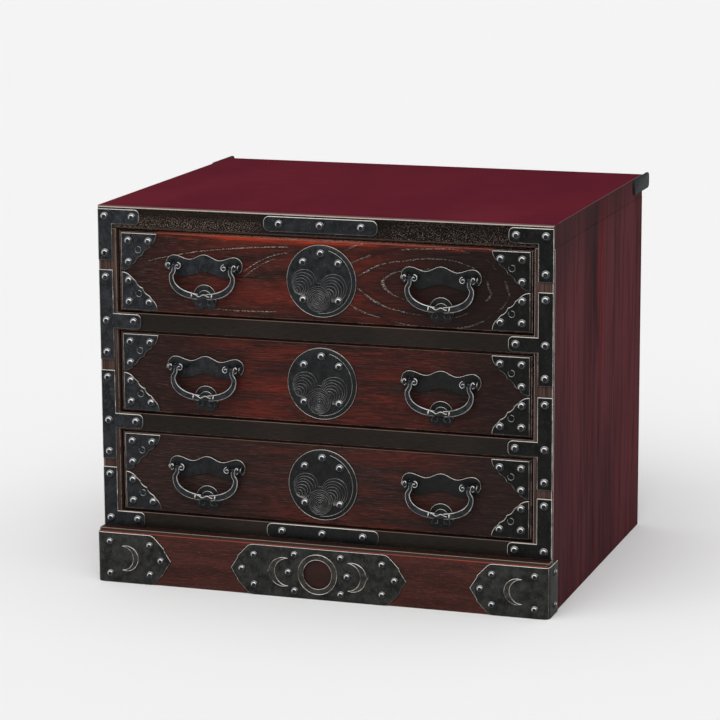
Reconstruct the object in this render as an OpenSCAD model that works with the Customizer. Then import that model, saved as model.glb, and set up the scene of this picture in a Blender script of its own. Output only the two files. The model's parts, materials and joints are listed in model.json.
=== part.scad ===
// Tabletop drawer chest in lacquered wood with black iron fittings.
// Three drawers run in a cabinet of boards, each with two swinging bail handles.
// X runs across the front, Y from front to back and Z up. The origin is on the surface
// that the chest stands on, below the middle of its whole depth.

/* [Cabinet] */
// Width of the cabinet over its two sides
body_w = 400; // [350:1:500]
// Depth of the cabinet from the front frame to the back
body_d = 310; // [260:1:380]
// Thickness of each side board
side_t = 16.5; // [15:0.5:20]
// Thickness of the top board and of its front edging
top_t = 19.5; // [17:0.5:24]
// Depth of the edging along the front of the top board
edging_d = 12; // [10:0.5:20]
// Thickness of the back panel
back_t = 9; // [6:0.5:12]
// Width of the rebates in the sides that hold the back panel
back_rebate = 8; // [4:0.5:10]
// Thickness of the bottom board
bottom_t = 10; // [8:0.5:12]
// Thickness of the boards that the upper two drawers run on
shelf_t = 6; // [5:0.5:8]
// Depth of the grooves in the sides that hold the shelves and the bottom board
groove_d = 4; // [3:0.5:6]
// Bevel along the outer front edges of the boards
edge_bevel = 1.2; // [0.6:0.1:2]

/* [Front frame] */
// Height of the plinth board
plinth_h = 47; // [44:1:60]
// Thickness of the plinth board, which stands in front of the frame
plinth_d = 13; // [11:0.5:18]
// Radius of the plinth's upright front corners
plinth_round = 4; // [2:0.5:6]
// Bevel along the top edge of the plinth board
plinth_bevel = 2.5; // [1:0.5:2.5]
// Height of the rail under the bottom drawer
bottom_rail_h = 13.5; // [13:0.5:20]
// Height of the two rails between the drawers
rail_h = 15; // [13:0.5:20]
// Depth of the rails from front to back
rail_d = 18; // [15:1:30]
// Length of the tenon on each end of a rail
tenon_l = 6; // [4:0.5:8]
// Height of a rail tenon
tenon_h = 7; // [5:0.5:8]
// Depth of a rail tenon from front to back
tenon_d = 10; // [8:0.5:12]

/* [Drawers] */
// Height of each drawer opening
opening_h = 72; // [70:1:90]
// Gap on each side of a drawer front
front_gap = 1; // [0.5:0.1:1.5]
// Gap over a drawer front
top_gap = 1.2; // [0.8:0.1:2]
// Running gap under a drawer
run_gap = 0.3; // [0.2:0.1:0.5]
// Thickness of a drawer front
front_t = 16; // [14:0.5:20]
// How far the drawer fronts lie behind the front of the frame
front_set = 2.5; // [1.5:0.5:4]
// Bevel around the face of a drawer front
front_bevel = 1.6; // [0.8:0.1:2]
// Thickness of the drawer sides and backs
wall_t = 9; // [8:0.5:11]
// How much lower the drawer walls are than the drawer front
wall_drop = 2; // [1:0.5:4]
// Thickness of a drawer bottom
floor_t = 5; // [4:0.5:6]
// Height of the groove of the drawer bottom over the lower edge
floor_lift = 4; // [3:0.5:6]
// Depth of the groove that holds the drawer bottom
floor_in = 3; // [2:0.5:4]
// Gap behind a closed drawer
rear_gap = 1.5; // [1:0.5:4]
// Depth of the dovetails between a drawer front and its sides
tail_l = 9; // [7:0.5:10]
// Number of dovetails on each end of a drawer front
tail_n = 3; // [2:1:4]
// Number of fingers on each end of a drawer back
finger_n = 3; // [2:1:4]

/* [Frame iron] */
// Thickness of the iron plates
plate_t = 1.2; // [1:0.1:1.6]
// Width of the upright strips on the sides' front edges
strip_w = 13; // [12:0.5:13.5]
// Margin between the upright strips and the outer face of the sides
strip_margin = 0.5; // [0.3:0.1:1]
// Length of the plates' arms along the rails
arm_l = 38; // [34:1:50]
// Height of the plates' arms
arm_h = 13; // [12:0.5:13]
// Length of the upright leg of the top corner plates
top_leg = 47; // [40:1:50]
// Length of the upright leg of the bottom corner plates
bottom_leg = 52; // [40:1:54]
// Reach of an edge plate above the middle of its rail
reach_up = 44; // [38:1:46]
// Reach of an edge plate below the middle of its rail
reach_down = 34; // [30:1:38]
// Length of the plates at the middle of the top edging and of the bottom rail
centre_plate_l = 100; // [80:1:120]
// How far the top plates sit above the middle of the top edging
top_plate_rise = 0.5; // [0:0.25:1.5]
// Distance from the end of a centre plate to its last nail
centre_nail_in = 14; // [8:0.5:24]
// Radius of a nail head
nail_r = 3.2; // [2.6:0.05:3.4]
// Height of a nail head
nail_h = 2.1; // [1.4:0.1:2.4]
// Distance from the end of a strip to its last nail
nail_end = 6.5; // [5:0.5:9]

/* [Plinth iron] */
// Height of the plinth plates
plinth_plate_h = 44; // [40:1:44]
// Length of a corner plate from the corner to its point
corner_plate_l = 68; // [60:1:90]
// Length of a corner plate's leaf on the side of the chest
corner_leaf_l = 27; // [24:1:40]
// Length of the plinth's centre plate from point to point
plinth_plate_l = 156; // [140:1:190]
// Length of the ogee at a plate's point
point_l = 21; // [18:1:26]
// Radius of the round window in the centre plate
window_r = 12.8; // [10:0.1:14]
// Width of the raised ring round the window
window_ring = 4.4; // [3:0.1:5]
// Outer radius of the raised crescents on the corner plates
crescent_r = 11; // [9:0.5:12]
// Outer radius of the raised crescents on the centre plate
centre_crescent_r = 12.5; // [10:0.5:14]
// Height of the raised ring and crescents
emboss_h = 0.6; // [0.4:0.1:1]

/* [Drawer iron] */
// Length of the legs of a drawer corner plate
corner_l = 32.5; // [28:0.5:33]
// Distance of the corner plates from the sides of a drawer front
corner_in_x = 3; // [2.2:0.1:5]
// Distance of the corner plates from the top and bottom of a drawer front
corner_in_z = 2.2; // [2.2:0.1:4]
// Radius of the round centre plate
disc_r = 30.5; // [26:0.5:32]
// Thickness of the round centre plate
disc_t = 2.2; // [1.8:0.1:3]
// Width of the bevel round the centre plate
disc_bevel = 3.6; // [2:0.5:5]

/* [Handles] */
// Distance from the middle of a drawer to the middle of a handle
handle_x = 104; // [80:1:120]
// Height of the handle pivots over the middle of a drawer front
pivot_up = 8; // [5:0.5:11]
// Distance from the middle of a handle to the middle of an eye
eye_x = 29.4; // [28:0.2:34]
// Distance of the pivot from the face of a drawer front
pivot_out = 6.2; // [6:0.1:8]
// Radius of the bail's pins
pin_r = 1.7; // [1.4:0.05:1.8]
// Radial running clearance of a pin in its eye
pin_clear = 0.06; // [0.03:0.01:0.1]
// Thickness of an eye's wall round the pin
eye_wall = 1.6; // [1.2:0.1:1.8]
// Width of an eye along the pin
eye_w = 4.2; // [3:0.2:5]
// Side of the square shank of an eye
shank_w = 2.4; // [2:0.1:3]
// Clearance of the shank in its hole on each side
shank_clear = 0.3; // [0.1:0.1:0.5]
// Length of the shank's two legs, bent over inside the drawer
leg_l = 9; // [6:0.5:12]
// Thickness of the shank's legs
leg_t = 1.2; // [1:0.1:1.5]
// Distance from the middle of a handle to the curled end of the bail
curl_x = 20.8; // [19:0.2:22]
// Radius of the curled end of the bail
curl_r = 3.5; // [2.4:0.1:3.6]
// Depth of the curled end from front to back
curl_d = 6; // [4:0.2:6.2]
// Half width of the bail along its middle line
bail_half_w = 27.6; // [25:0.2:29]
// Drop of the bail's middle line below the pivot
bail_drop = 25.5; // [22:0.5:28]
// Height of the widest place of the bail below the pivot
bail_shoulder = 9; // [6:0.5:12]
// Gap between the bail's arms and the eyes' inner faces
arm_gap = 0.35; // [0.3:0.05:1]
// Radius of the bail's arms near the pivot
arm_r = 1.65; // [1.3:0.05:1.8]
// Radius of the bail at its thickest
grip_r = 2.8; // [1.8:0.1:3]
// Half length of the turned boss at the middle of the bail
boss_half = 9.6; // [7:0.2:11]
// Radius of the boss
boss_r = 3.6; // [2.8:0.1:4]
// Radius of the strike plate behind the boss
strike_r = 10.6; // [8:0.2:11]
// How far the strike plate's middle lies below the boss
strike_below = 1.5; // [0:0.25:2]
// Gap between the boss and the strike plate when the bail hangs
strike_gap = 0.4; // [0.3:0.1:0.8]

/* [Rear lugs] */
// Length of a lug on the side of the chest
lug_l = 38; // [30:1:60]
// Reach of a lug behind the back
lug_tail = 18; // [10:1:24]
// Height of a lug
lug_h = 14; // [12:0.5:16]
// Thickness of a lug
lug_t = 2.3; // [1.5:0.1:3]

/* [Hidden] */
$fn = 48;

// Colours, as the photograph shows them
top_colour = [0.345, 0.141, 0.169];
side_colour = [0.29, 0.175, 0.18];
frame_colour = [0.16, 0.13, 0.11];
front_colour = [0.26, 0.13, 0.11];
raw_colour = [0.72, 0.60, 0.44];
iron_colour = [0.17, 0.18, 0.19];
nail_colour = [0.25, 0.26, 0.27];

// The chest from front to back: the plinth's nails reach furthest forward, the lugs furthest back
front_reach = plinth_d + plate_t + nail_h;
front_y = front_reach - (front_reach + body_d + lug_tail) / 2;
back_y = front_y + body_d;
plinth_y = front_y - plinth_d;

// The chest from bottom to top
opening_count = 3;
pitch = opening_h + rail_h;
first_opening_z = plinth_h + bottom_rail_h;
top_z = first_opening_z + opening_count * opening_h + (opening_count - 1) * rail_h;
body_h = top_z + top_t;
inner_half = body_w / 2 - side_t;

// Drawers, counted from the top: 0, 1 and 2
face_y = front_y + front_set;
front_half = inner_half - front_gap;
front_h = opening_h - run_gap - top_gap;
wall_h = front_h - wall_drop;
drawer_end = back_y - back_t - rear_gap;
back_wall_y = drawer_end - wall_t;
inside_half = front_half - wall_t;

// Handles and the drawers' iron, in the plane of a drawer front
eye_outer = pin_r + pin_clear + eye_wall;
bore_r = pin_r + pin_clear;
eye_neck = pivot_out - plate_t;
strike_crown = pivot_out - boss_r - strike_gap;
strike_edge = 0.8;
joint_slack = 0.1;

function opening_z(i) = first_opening_z + (opening_count - 1 - i) * pitch;
function front_z(i) = opening_z(i) + run_gap;
function pivot_z(i) = front_z(i) + front_h / 2 + pivot_up;

// Points on an arc round a centre, from one angle to another
function arc(c, r, a0, a1, n) =
    [for (i = [0:n]) c + r * [cos(a0 + (a1 - a0) * i / n), sin(a0 + (a1 - a0) * i / n)]];

// Shapes that several pieces share

// A flat outline in x and z, raised from the plane y towards the front
module raised(y, t) {
    translate([0, y, 0])
        rotate([90, 0, 0])
            linear_extrude(t)
                children();
}

// An outline in y and z, drawn from x outwards
module across(x, t) {
    translate([x, 0, 0])
        rotate([90, 0, 90])
            linear_extrude(t)
                children();
}

module both_sides() {
    children();
    mirror([1, 0, 0])
        children();
}

module box_from(low, high) {
    translate(low)
        cube(high - low);
}

// A rectangle with its lower left corner at the origin and round corners
module round_rect(w, h, r) {
    translate([r, 0])
        square([w - 2 * r, h]);
    translate([0, r])
        square([w, h - 2 * r]);
    for (x = [r, w - r], y = [r, h - r])
        translate([x, y])
            circle(r);
}

// A board whose front edges carry a bevel: x and z span the face, y runs back from it
module bevelled_board(w, d, h, b) {
    intersection() {
        translate([-w / 2, 0, 0])
            linear_extrude(h)
                polygon([[0, b], [b, 0], [w - b, 0], [w, b], [w, d], [0, d]]);
        across(-w / 2, w)
            polygon([[0, b], [b, 0], [d, 0], [d, h], [b, h], [0, h - b]]);
    }
}

// The dome of a nail head, standing up from its plate
module nail_head() {
    cap_r = (nail_r * nail_r + nail_h * nail_h) / (2 * nail_h);
    rotate_extrude()
        intersection() {
            translate([0, nail_h - cap_r])
                circle(cap_r);
            square([nail_r + 1, nail_h + 1]);
        }
}

// Nail heads on a plate that faces the front, at points in x and z
module front_nails(points, y) {
    for (p = points)
        translate([p[0], y, p[1]])
            rotate([90, 0, 0])
                nail_head();
}

// Cabinet boards

module top_board() {
    color(top_colour)
        box_from([-body_w / 2, front_y + edging_d, top_z], [body_w / 2, back_y, body_h]);
}

module top_edging() {
    color(frame_colour)
        translate([0, front_y, top_z])
            bevelled_board(body_w, edging_d, top_t, edge_bevel);
}

// A rail's tenon, grown by a slack all round for its mortise
module tenons(z, h, slack) {
    both_sides()
        box_from([inner_half - 1, front_y + (rail_d - tenon_d) / 2 - slack, z + (h - tenon_h) / 2 - slack],
                 [inner_half + tenon_l + slack,
                  front_y + (rail_d + tenon_d) / 2 + slack, z + (h + tenon_h) / 2 + slack]);
}

// A side board, drawn as the right one
module side_board() {
    difference() {
        translate([body_w / 2, 0, 0])
            mirror([1, 0, 0])
                linear_extrude(top_z)
                    polygon([[0, front_y + edge_bevel], [edge_bevel, front_y], [side_t, front_y],
                             [side_t, back_y - back_t], [side_t - back_rebate, back_y - back_t],
                             [side_t - back_rebate, back_y], [0, back_y]]);
        for (i = [0, 1]) {
            tenons(opening_z(i) - rail_h, rail_h, joint_slack);
            board_space(opening_z(i), shelf_t);
        }
        tenons(plinth_h, bottom_rail_h, joint_slack);
        board_space(first_opening_z, bottom_t);
    }
}

// The space of a board whose upper face is at z, let into the sides
module board_space(z, t) {
    box_from([-inner_half - groove_d, front_y + rail_d, z - t],
             [inner_half + groove_d, back_y - back_t, z]);
}

module side_right() {
    color(side_colour)
        side_board();
}

module side_left() {
    color(side_colour)
        mirror([1, 0, 0])
            side_board();
}

module back_panel() {
    color(side_colour)
        box_from([-inner_half - back_rebate, back_y - back_t, plinth_h],
                 [inner_half + back_rebate, back_y, top_z]);
}

module bottom_board() {
    color(raw_colour)
        board_space(first_opening_z, bottom_t);
}

module shelf(i) {
    color(raw_colour)
        board_space(opening_z(i), shelf_t);
}

module rail(z, h) {
    color(frame_colour) {
        box_from([-inner_half, front_y, z], [inner_half, front_y + rail_d, z + h]);
        tenons(z, h, 0);
    }
}

// The plinth's plan from its middle to its right end, grown by g round the front corner
module plinth_plan(end_y, g) {
    corner = [body_w / 2 - plinth_round, plinth_y + plinth_round];
    translate([0, plinth_y - g])
        square([corner[0], end_y - plinth_y + g]);
    translate([0, corner[1]])
        square([body_w / 2 + g, end_y - corner[1]]);
    translate(corner)
        circle(plinth_round + g);
}

module plinth_board() {
    color(front_colour)
        intersection() {
            linear_extrude(plinth_h) {
                plinth_plan(front_y, 0);
                mirror([1, 0])
                    plinth_plan(front_y, 0);
            }
            across(-body_w / 2, body_w)
                polygon([[plinth_y, 0], [front_y, 0], [front_y, plinth_h],
                         [plinth_y + plinth_bevel, plinth_h], [plinth_y, plinth_h - plinth_bevel]]);
        }
}

// Iron on the front frame

strip_x = body_w / 2 - strip_margin;
top_plate_z = top_z + top_t / 2 + top_plate_rise;

// An arm from the outer edge of the frame along a rail, with round corners at its end
module plate_arm(z) {
    corner = arm_h / 3;
    translate([strip_x - arm_l, z - arm_h / 2])
        round_rect(arm_l, arm_h, corner);
    translate([strip_x - strip_w, z - arm_h / 2])
        square([strip_w, arm_h]);
}

// The upright strip of a plate, from z0 to z1
module plate_strip(z0, z1) {
    translate([strip_x - strip_w, z0])
        square([strip_w, z1 - z0]);
}

module top_corner_plates() {
    color(iron_colour)
        both_sides()
            raised(front_y, plate_t) {
                plate_strip(body_h - top_leg, top_plate_z + arm_h / 2);
                plate_arm(top_plate_z);
            }
}

function rail_z(i) = opening_z(i) - rail_h / 2;

module edge_plates(i) {
    color(iron_colour)
        both_sides()
            raised(front_y, plate_t) {
                plate_strip(rail_z(i) - reach_down, rail_z(i) + reach_up);
                plate_arm(rail_z(i));
            }
}

bottom_arm_z = plinth_h + bottom_rail_h / 2;

module bottom_corner_plates() {
    color(iron_colour)
        both_sides()
            raised(front_y, plate_t) {
                plate_strip(bottom_arm_z - arm_h / 2, plinth_h + bottom_leg);
                plate_arm(bottom_arm_z);
            }
}

module centre_plate(z) {
    color(iron_colour)
        raised(front_y, plate_t)
            translate([-centre_plate_l / 2, z - arm_h / 2])
                round_rect(centre_plate_l, arm_h, arm_h * 0.4);
}

nail_x = strip_x - strip_w / 2;
arm_nail_x = strip_x - arm_l + nail_end;
centre_nail_x = centre_plate_l / 2 - centre_nail_in;

module frame_nails() {
    edge_points = [for (i = [0, 1])
        each [[nail_x, rail_z(i) + reach_up - nail_end], [nail_x, rail_z(i)],
              [nail_x, rail_z(i) - reach_down + nail_end], [arm_nail_x, rail_z(i)]]];
    corner_points = [[nail_x, top_plate_z], [arm_nail_x, top_plate_z],
                     [nail_x, body_h - top_leg + nail_end],
                     [nail_x, bottom_arm_z], [arm_nail_x, bottom_arm_z],
                     [nail_x, plinth_h + bottom_leg - nail_end]];
    centre_points = [for (z = [top_plate_z, bottom_arm_z], x = [-centre_nail_x, 0, centre_nail_x])
        [x, z]];
    color(nail_colour) {
        both_sides()
            front_nails(concat(edge_points, corner_points), front_y - plate_t);
        front_nails(centre_points, front_y - plate_t);
    }
}

// Iron on the plinth

// Half of a pointed end: from the full half height down an ogee to the point, along x
function ogee_half(h) = concat(
    arc([0.04 * point_l, h * 0.64], h * 0.36, 90, 42, 6),
    arc([0.54 * point_l, h * 0.42], h * 0.17, 50, 0, 4),
    [[point_l, 0]]);

function flip_z(points) = [for (i = [len(points) - 1:-1:0]) [points[i][0], -points[i][1]]];

// A plate's outline from x0 to a point at x1, centred on z = 0
module pointed_outline(x0, x1, h) {
    end = [for (p = ogee_half(h / 2)) [x1 - point_l + p[0], p[1]]];
    polygon(concat([[x0, h / 2]], end, flip_z(end), [[x0, -h / 2]]));
}

// A crescent whose open side faces -x, with a cusp on its round side
module crescent(r, cusp) {
    difference() {
        union() {
            circle(r);
            if (cusp > 0)
                translate([r - cusp, 0])
                    polygon([[0, -2.2 * cusp], [2 * cusp, 0], [0, 2.2 * cusp]]);
        }
        translate([-0.36 * r, 0])
            circle(0.97 * r);
    }
}

plinth_mid = plinth_plate_h / 2;
plinth_nail_z = plinth_plate_h / 2 - 8;
corner_point_x = body_w / 2 + plate_t - corner_plate_l;
crescent_x = corner_point_x + corner_plate_l * 0.6;
leaf_end_y = plinth_y + corner_leaf_l;

module plinth_corner_plates() {
    color(iron_colour)
        both_sides() {
            intersection() {
                linear_extrude(plinth_plate_h)
                    difference() {
                        plinth_plan(leaf_end_y, plate_t);
                        plinth_plan(leaf_end_y + 1, 0);
                    }
                raised(leaf_end_y, corner_leaf_l + 2 * plate_t)
                    translate([0, plinth_mid])
                        mirror([1, 0])
                            pointed_outline(-body_w / 2 - 2 * plate_t, -corner_point_x, plinth_plate_h);
            }
            raised(plinth_y - plate_t, emboss_h)
                translate([crescent_x, plinth_mid])
                    mirror([1, 0])
                        crescent(crescent_r, 0);
        }
}

centre_crescent_x = window_r + window_ring + centre_crescent_r + 1;

module plinth_centre_plate() {
    ring_r = window_r + window_ring;
    color(iron_colour) {
        raised(plinth_y, plate_t)
            translate([0, plinth_mid])
                difference() {
                    union() {
                        pointed_outline(0, plinth_plate_l / 2, plinth_plate_h);
                        mirror([1, 0])
                            pointed_outline(0, plinth_plate_l / 2, plinth_plate_h);
                    }
                    circle(window_r);
                }
        raised(plinth_y - plate_t, emboss_h)
            translate([0, plinth_mid])
                difference() {
                    circle(ring_r);
                    circle(window_r);
                }
        both_sides()
            raised(plinth_y - plate_t, emboss_h)
                translate([centre_crescent_x, plinth_mid])
                    crescent(centre_crescent_r, 0.12 * centre_crescent_r);
    }
}

module plinth_nails() {
    corner_x = body_w / 2 - 11;
    shoulder_x = corner_point_x + point_l - 2;
    tip_x = corner_point_x + 9;
    centre_shoulder_x = plinth_plate_l / 2 - point_l;
    centre_tip_x = plinth_plate_l / 2 - 10;
    corner_points = [for (s = [-1, 1])
        each [[corner_x, plinth_mid + s * plinth_nail_z],
              [shoulder_x, plinth_mid + s * (plinth_nail_z - 1)]]];
    centre_points = [for (s = [-1, 1])
        each [[centre_shoulder_x, plinth_mid + s * (plinth_nail_z - 1)],
              [window_r + window_ring + 3.4, plinth_mid + s * (plinth_nail_z + 1.8)]]];
    tips = [[tip_x, plinth_mid], [centre_tip_x, plinth_mid],
            [centre_crescent_x - 0.36 * centre_crescent_r, plinth_mid]];
    leaf_nail_y = plinth_y + corner_leaf_l * 0.62;
    color(nail_colour)
        both_sides() {
            front_nails(concat(corner_points, centre_points, tips), plinth_y - plate_t);
            for (s = [-1, 1])
                translate([body_w / 2 + plate_t, leaf_nail_y, plinth_mid + s * plinth_nail_z])
                    rotate([0, 90, 0])
                        nail_head();
        }
}

// A lug at the rear top corner of each side, which reaches behind the back
module rear_lugs() {
    color(iron_colour)
        both_sides()
            across(body_w / 2, lug_t)
                translate([back_y - lug_l, body_h - lug_h])
                    round_rect(lug_l + lug_tail, lug_h, lug_h * 0.3);
}

// Drawers

// A row of dovetails in y and z, pointing to the front, their roots at y = 0
module tails(h) {
    step = h / tail_n;
    root = step * 0.26;
    tip = step * 0.36;
    for (i = [0:tail_n - 1])
        translate([0, (i + 0.5) * step])
            polygon([[0, -root], [-tail_l, -tip], [-tail_l, tip], [0, root]]);
}

// The fingers of a drawer back in z, each with its place
module fingers(h) {
    step = h / (2 * finger_n + 1);
    for (i = [0:finger_n - 1])
        translate([0, (2 * i + 1) * step])
            square([wall_t, step]);
}

// The square holes of a handle's shanks, through whatever lies on the drawer front
module shank_holes(i) {
    hole = shank_w + 2 * shank_clear;
    for (s = [-1, 1], e = [-1, 1])
        translate([s * handle_x + e * eye_x - hole / 2, face_y - plate_t - 1, pivot_z(i) - hole / 2])
            cube([hole, front_t + plate_t + 2, hole]);
}

module drawer_front(i) {
    color(front_colour)
        difference() {
            translate([0, face_y, front_z(i)])
                bevelled_board(2 * front_half, front_t, front_h, front_bevel);
            both_sides()
                translate([0, face_y + front_t, front_z(i)])
                    across(inside_half, wall_t + 1)
                        tails(wall_h);
            floor_space(i);
            shank_holes(i);
        }
}

// The space of a drawer's bottom, let into the front, sides and back
module floor_space(i) {
    box_from([-inside_half - floor_in, face_y + front_t - floor_in, front_z(i) + floor_lift],
             [inside_half + floor_in, back_wall_y + floor_in, front_z(i) + floor_lift + floor_t]);
}

// A drawer side, drawn as the right one
module drawer_side(i) {
    color(raw_colour)
        difference() {
            union() {
                box_from([inside_half, face_y + front_t, front_z(i)],
                         [front_half, drawer_end, front_z(i) + wall_h]);
                translate([0, face_y + front_t, front_z(i)])
                    across(inside_half, wall_t)
                        tails(wall_h);
            }
            translate([0, back_wall_y, front_z(i)])
                across(inside_half - 1, wall_t + 2)
                    fingers(wall_h);
            floor_space(i);
        }
}

module drawer_back(i) {
    color(raw_colour)
        difference() {
            union() {
                box_from([-inside_half, back_wall_y, front_z(i)],
                         [inside_half, drawer_end, front_z(i) + wall_h]);
                translate([0, back_wall_y, front_z(i)])
                    across(-front_half, 2 * front_half)
                        fingers(wall_h);
            }
            floor_space(i);
        }
}

module drawer_floor(i) {
    color(raw_colour)
        floor_space(i);
}

// Iron on the drawers

// A corner plate in the corner of x and z: curved ends, and two scallops in the long side
module corner_outline() {
    end_r = corner_l * 0.37;
    end = arc([corner_l - end_r, 0], end_r, 0, 52, 5);
    other_end = [for (k = [len(end) - 1:-1:0]) [end[k][1], end[k][0]]];
    middle = corner_l * 0.6;
    scallop = corner_l * 0.25;
    near = corner_l * 0.64;
    far = corner_l * 0.84;
    difference() {
        polygon(concat([[0, 0]], end, [[middle, middle]], other_end));
        translate([far, near])
            circle(scallop);
        translate([near, far])
            circle(scallop);
    }
}

// What lies at the lower left corner of a drawer front, repeated at all four corners
module at_corners(i) {
    half = front_half - corner_in_x;
    low = front_z(i) + corner_in_z;
    high = front_z(i) + front_h - corner_in_z;
    both_sides() {
        translate([-half, 0, low])
            children();
        translate([-half, 0, high])
            mirror([0, 0, 1])
                children();
    }
}

module corner_plates(i) {
    color(iron_colour)
        at_corners(i)
            raised(face_y, plate_t)
                corner_outline();
}

// The nails of the round plate, and the flat left round each where it meets a whorl
disc_nail_points = [[0, 23.4], [15.5, 15.6], [-15.5, 15.6], [15.5, -16], [-15.5, -16]];
nail_seat = 0.15;

// The round plate, with a bevelled rim and three low whorls that overlap
module disc(i) {
    whorls = [[-14.6, -1.5, 11, 0.3], [11, -5, 11.6, 0.3], [-2.5, -14.8, 10.6, 0.6]];
    color(iron_colour)
        translate([0, face_y, front_z(i) + front_h / 2])
            rotate([90, 0, 0]) {
                rotate_extrude()
                    polygon([[0, 0], [disc_r, 0], [disc_r, strike_edge], [disc_r - disc_bevel, disc_t],
                             [0, disc_t]]);
                difference() {
                    for (w = whorls)
                        translate([w[0], w[1], disc_t])
                            cylinder(r = w[2], h = w[3]);
                    for (p = disc_nail_points)
                        translate([p[0], p[1], disc_t])
                            cylinder(r = nail_r + nail_seat, h = 1);
                }
            }
}

// A smooth step from z0 at x = 0 to z1 at x = span
function swell(x, z0, z1, span) = z0 + (z1 - z0) * (1 - cos(180 * x / span)) / 2;

// Outline of a handle's back plate round the middle between its eyes: a broad middle lobe,
// two round ends that hang lower, and an arch below
module handle_outline() {
    end_r = 7.2;
    end_x = eye_x - 2.4;
    inner_x = eye_x - 9.2;
    dip_x = end_x / 2;
    end_z = 0.8;
    mid_top = 9.2;
    dip_top = 4.8;
    arch_top = -5.4;
    low = -9.8;
    steps = 12;
    across_xs = [for (k = [-steps:steps]) k / steps];
    top = [for (k = across_xs)
        let (x = abs(k) * end_x)
        [k * end_x, x < dip_x ? swell(x, mid_top, dip_top, dip_x)
                              : swell(x - dip_x, dip_top, end_z + end_r, end_x - dip_x)]];
    bottom = [for (k = across_xs) [-k * inner_x, swell(abs(k) * inner_x, arch_top, low, inner_x)]];
    polygon(concat(top, bottom));
    for (s = [-1, 1], t = [0, 0.5, 1])
        translate([s * (end_x + (inner_x - end_x) * t), end_z + (low + end_r - end_z) * t])
            circle(end_r);
}

// The strike plate: round above, with two lobes below that a cleft divides
module strike_outline() {
    lobe_r = strike_r * 0.62;
    difference() {
        union() {
            translate([0, strike_r * 0.06])
                circle(strike_r * 0.94);
            for (s = [-1, 1])
                translate([s * (strike_r - lobe_r), lobe_r - strike_r])
                    circle(lobe_r);
        }
        translate([0, -strike_r])
            circle(strike_r * 0.2);
    }
}

strike_drop = bail_drop + strike_below;

module handle_plates(i) {
    crown_r = strike_r * 0.55;
    crown_h = strike_crown - plate_t;
    color(iron_colour)
        difference() {
            for (s = [-1, 1]) {
                raised(face_y, plate_t)
                    translate([s * handle_x, pivot_z(i)])
                        handle_outline();
                raised(face_y, plate_t)
                    translate([s * handle_x, pivot_z(i) - strike_drop])
                        strike_outline();
                translate([s * handle_x, face_y - plate_t, pivot_z(i) - strike_drop])
                    rotate([90, 0, 0])
                        cylinder(r1 = crown_r, r2 = crown_r * 0.6, h = crown_h);
            }
            shank_holes(i);
        }
}

// One eye with its axis along x, its neck, its square shank and the two legs bent over inside
module eye() {
    inside = pivot_out + front_t;
    soft = 0.5;
    difference() {
        union() {
            rotate([0, 90, 0])
                rotate_extrude()
                    polygon([[0, -eye_w / 2], [eye_outer - soft, -eye_w / 2],
                             [eye_outer, -eye_w / 2 + soft], [eye_outer, eye_w / 2 - soft],
                             [eye_outer - soft, eye_w / 2], [0, eye_w / 2]]);
            rotate([-90, 0, 0])
                cylinder(r = shank_w * 0.9, h = eye_neck);
        }
        rotate([0, 90, 0])
            cylinder(r = bore_r, h = eye_w + 2, center = true);
    }
    translate([-shank_w / 2, eye_neck, -shank_w / 2])
        cube([shank_w, inside + leg_t - eye_neck, shank_w]);
    translate([-shank_w / 2, inside, -leg_l])
        cube([shank_w, leg_t, 2 * leg_l]);
}

module eyes(i) {
    color(iron_colour)
        for (s = [-1, 1], e = [-1, 1])
            translate([s * handle_x + e * eye_x, face_y - pivot_out, pivot_z(i)])
                eye();
}

module drawer_nails(i) {
    near = corner_l * 0.21;
    far = corner_l * 0.775;
    color(nail_colour) {
        at_corners(i)
            front_nails([[near, near], [far, near], [near, far]], face_y - plate_t);
        translate([0, 0, front_z(i) + front_h / 2])
            front_nails(disc_nail_points, face_y - disc_t);
    }
}

// Bails

// The middle line of a bail, from one arm's top (-1) over the bottom (0) to the other (1):
// each arm runs straight past its eye, then swells out to the shoulder
arm_share = 0.28;
arm_top_x = eye_x - eye_w / 2 - arm_gap - arm_r;
arm_straight = 1 - (eye_outer + arm_gap) / bail_shoulder;
round_n = 2.25;

function bail_line(u) =
    let (s = abs(u), side = sign(u))
    s > 1 - arm_share
    ? let (v = (s - 1 + arm_share) / arm_share, w = sin(90 * min(1, v / arm_straight)))
      [side * (bail_half_w + (arm_top_x - bail_half_w) * w * w), -bail_shoulder * (1 - v)]
    : let (a = 90 * s / (1 - arm_share))
      [side * bail_half_w * pow(sin(a), 2 / round_n),
       -bail_shoulder - (bail_drop - bail_shoulder) * pow(cos(a), 2 / round_n)];

// The bail is thickest between its boss and its shoulders
function bail_radius(u) = arm_r + (grip_r - arm_r) * pow(cos(90 * min(1, abs(abs(u) - 0.3) / 0.7)), 2);

bail_rings = 32;
bail_sides = 12;
flat = 0.86;

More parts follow.
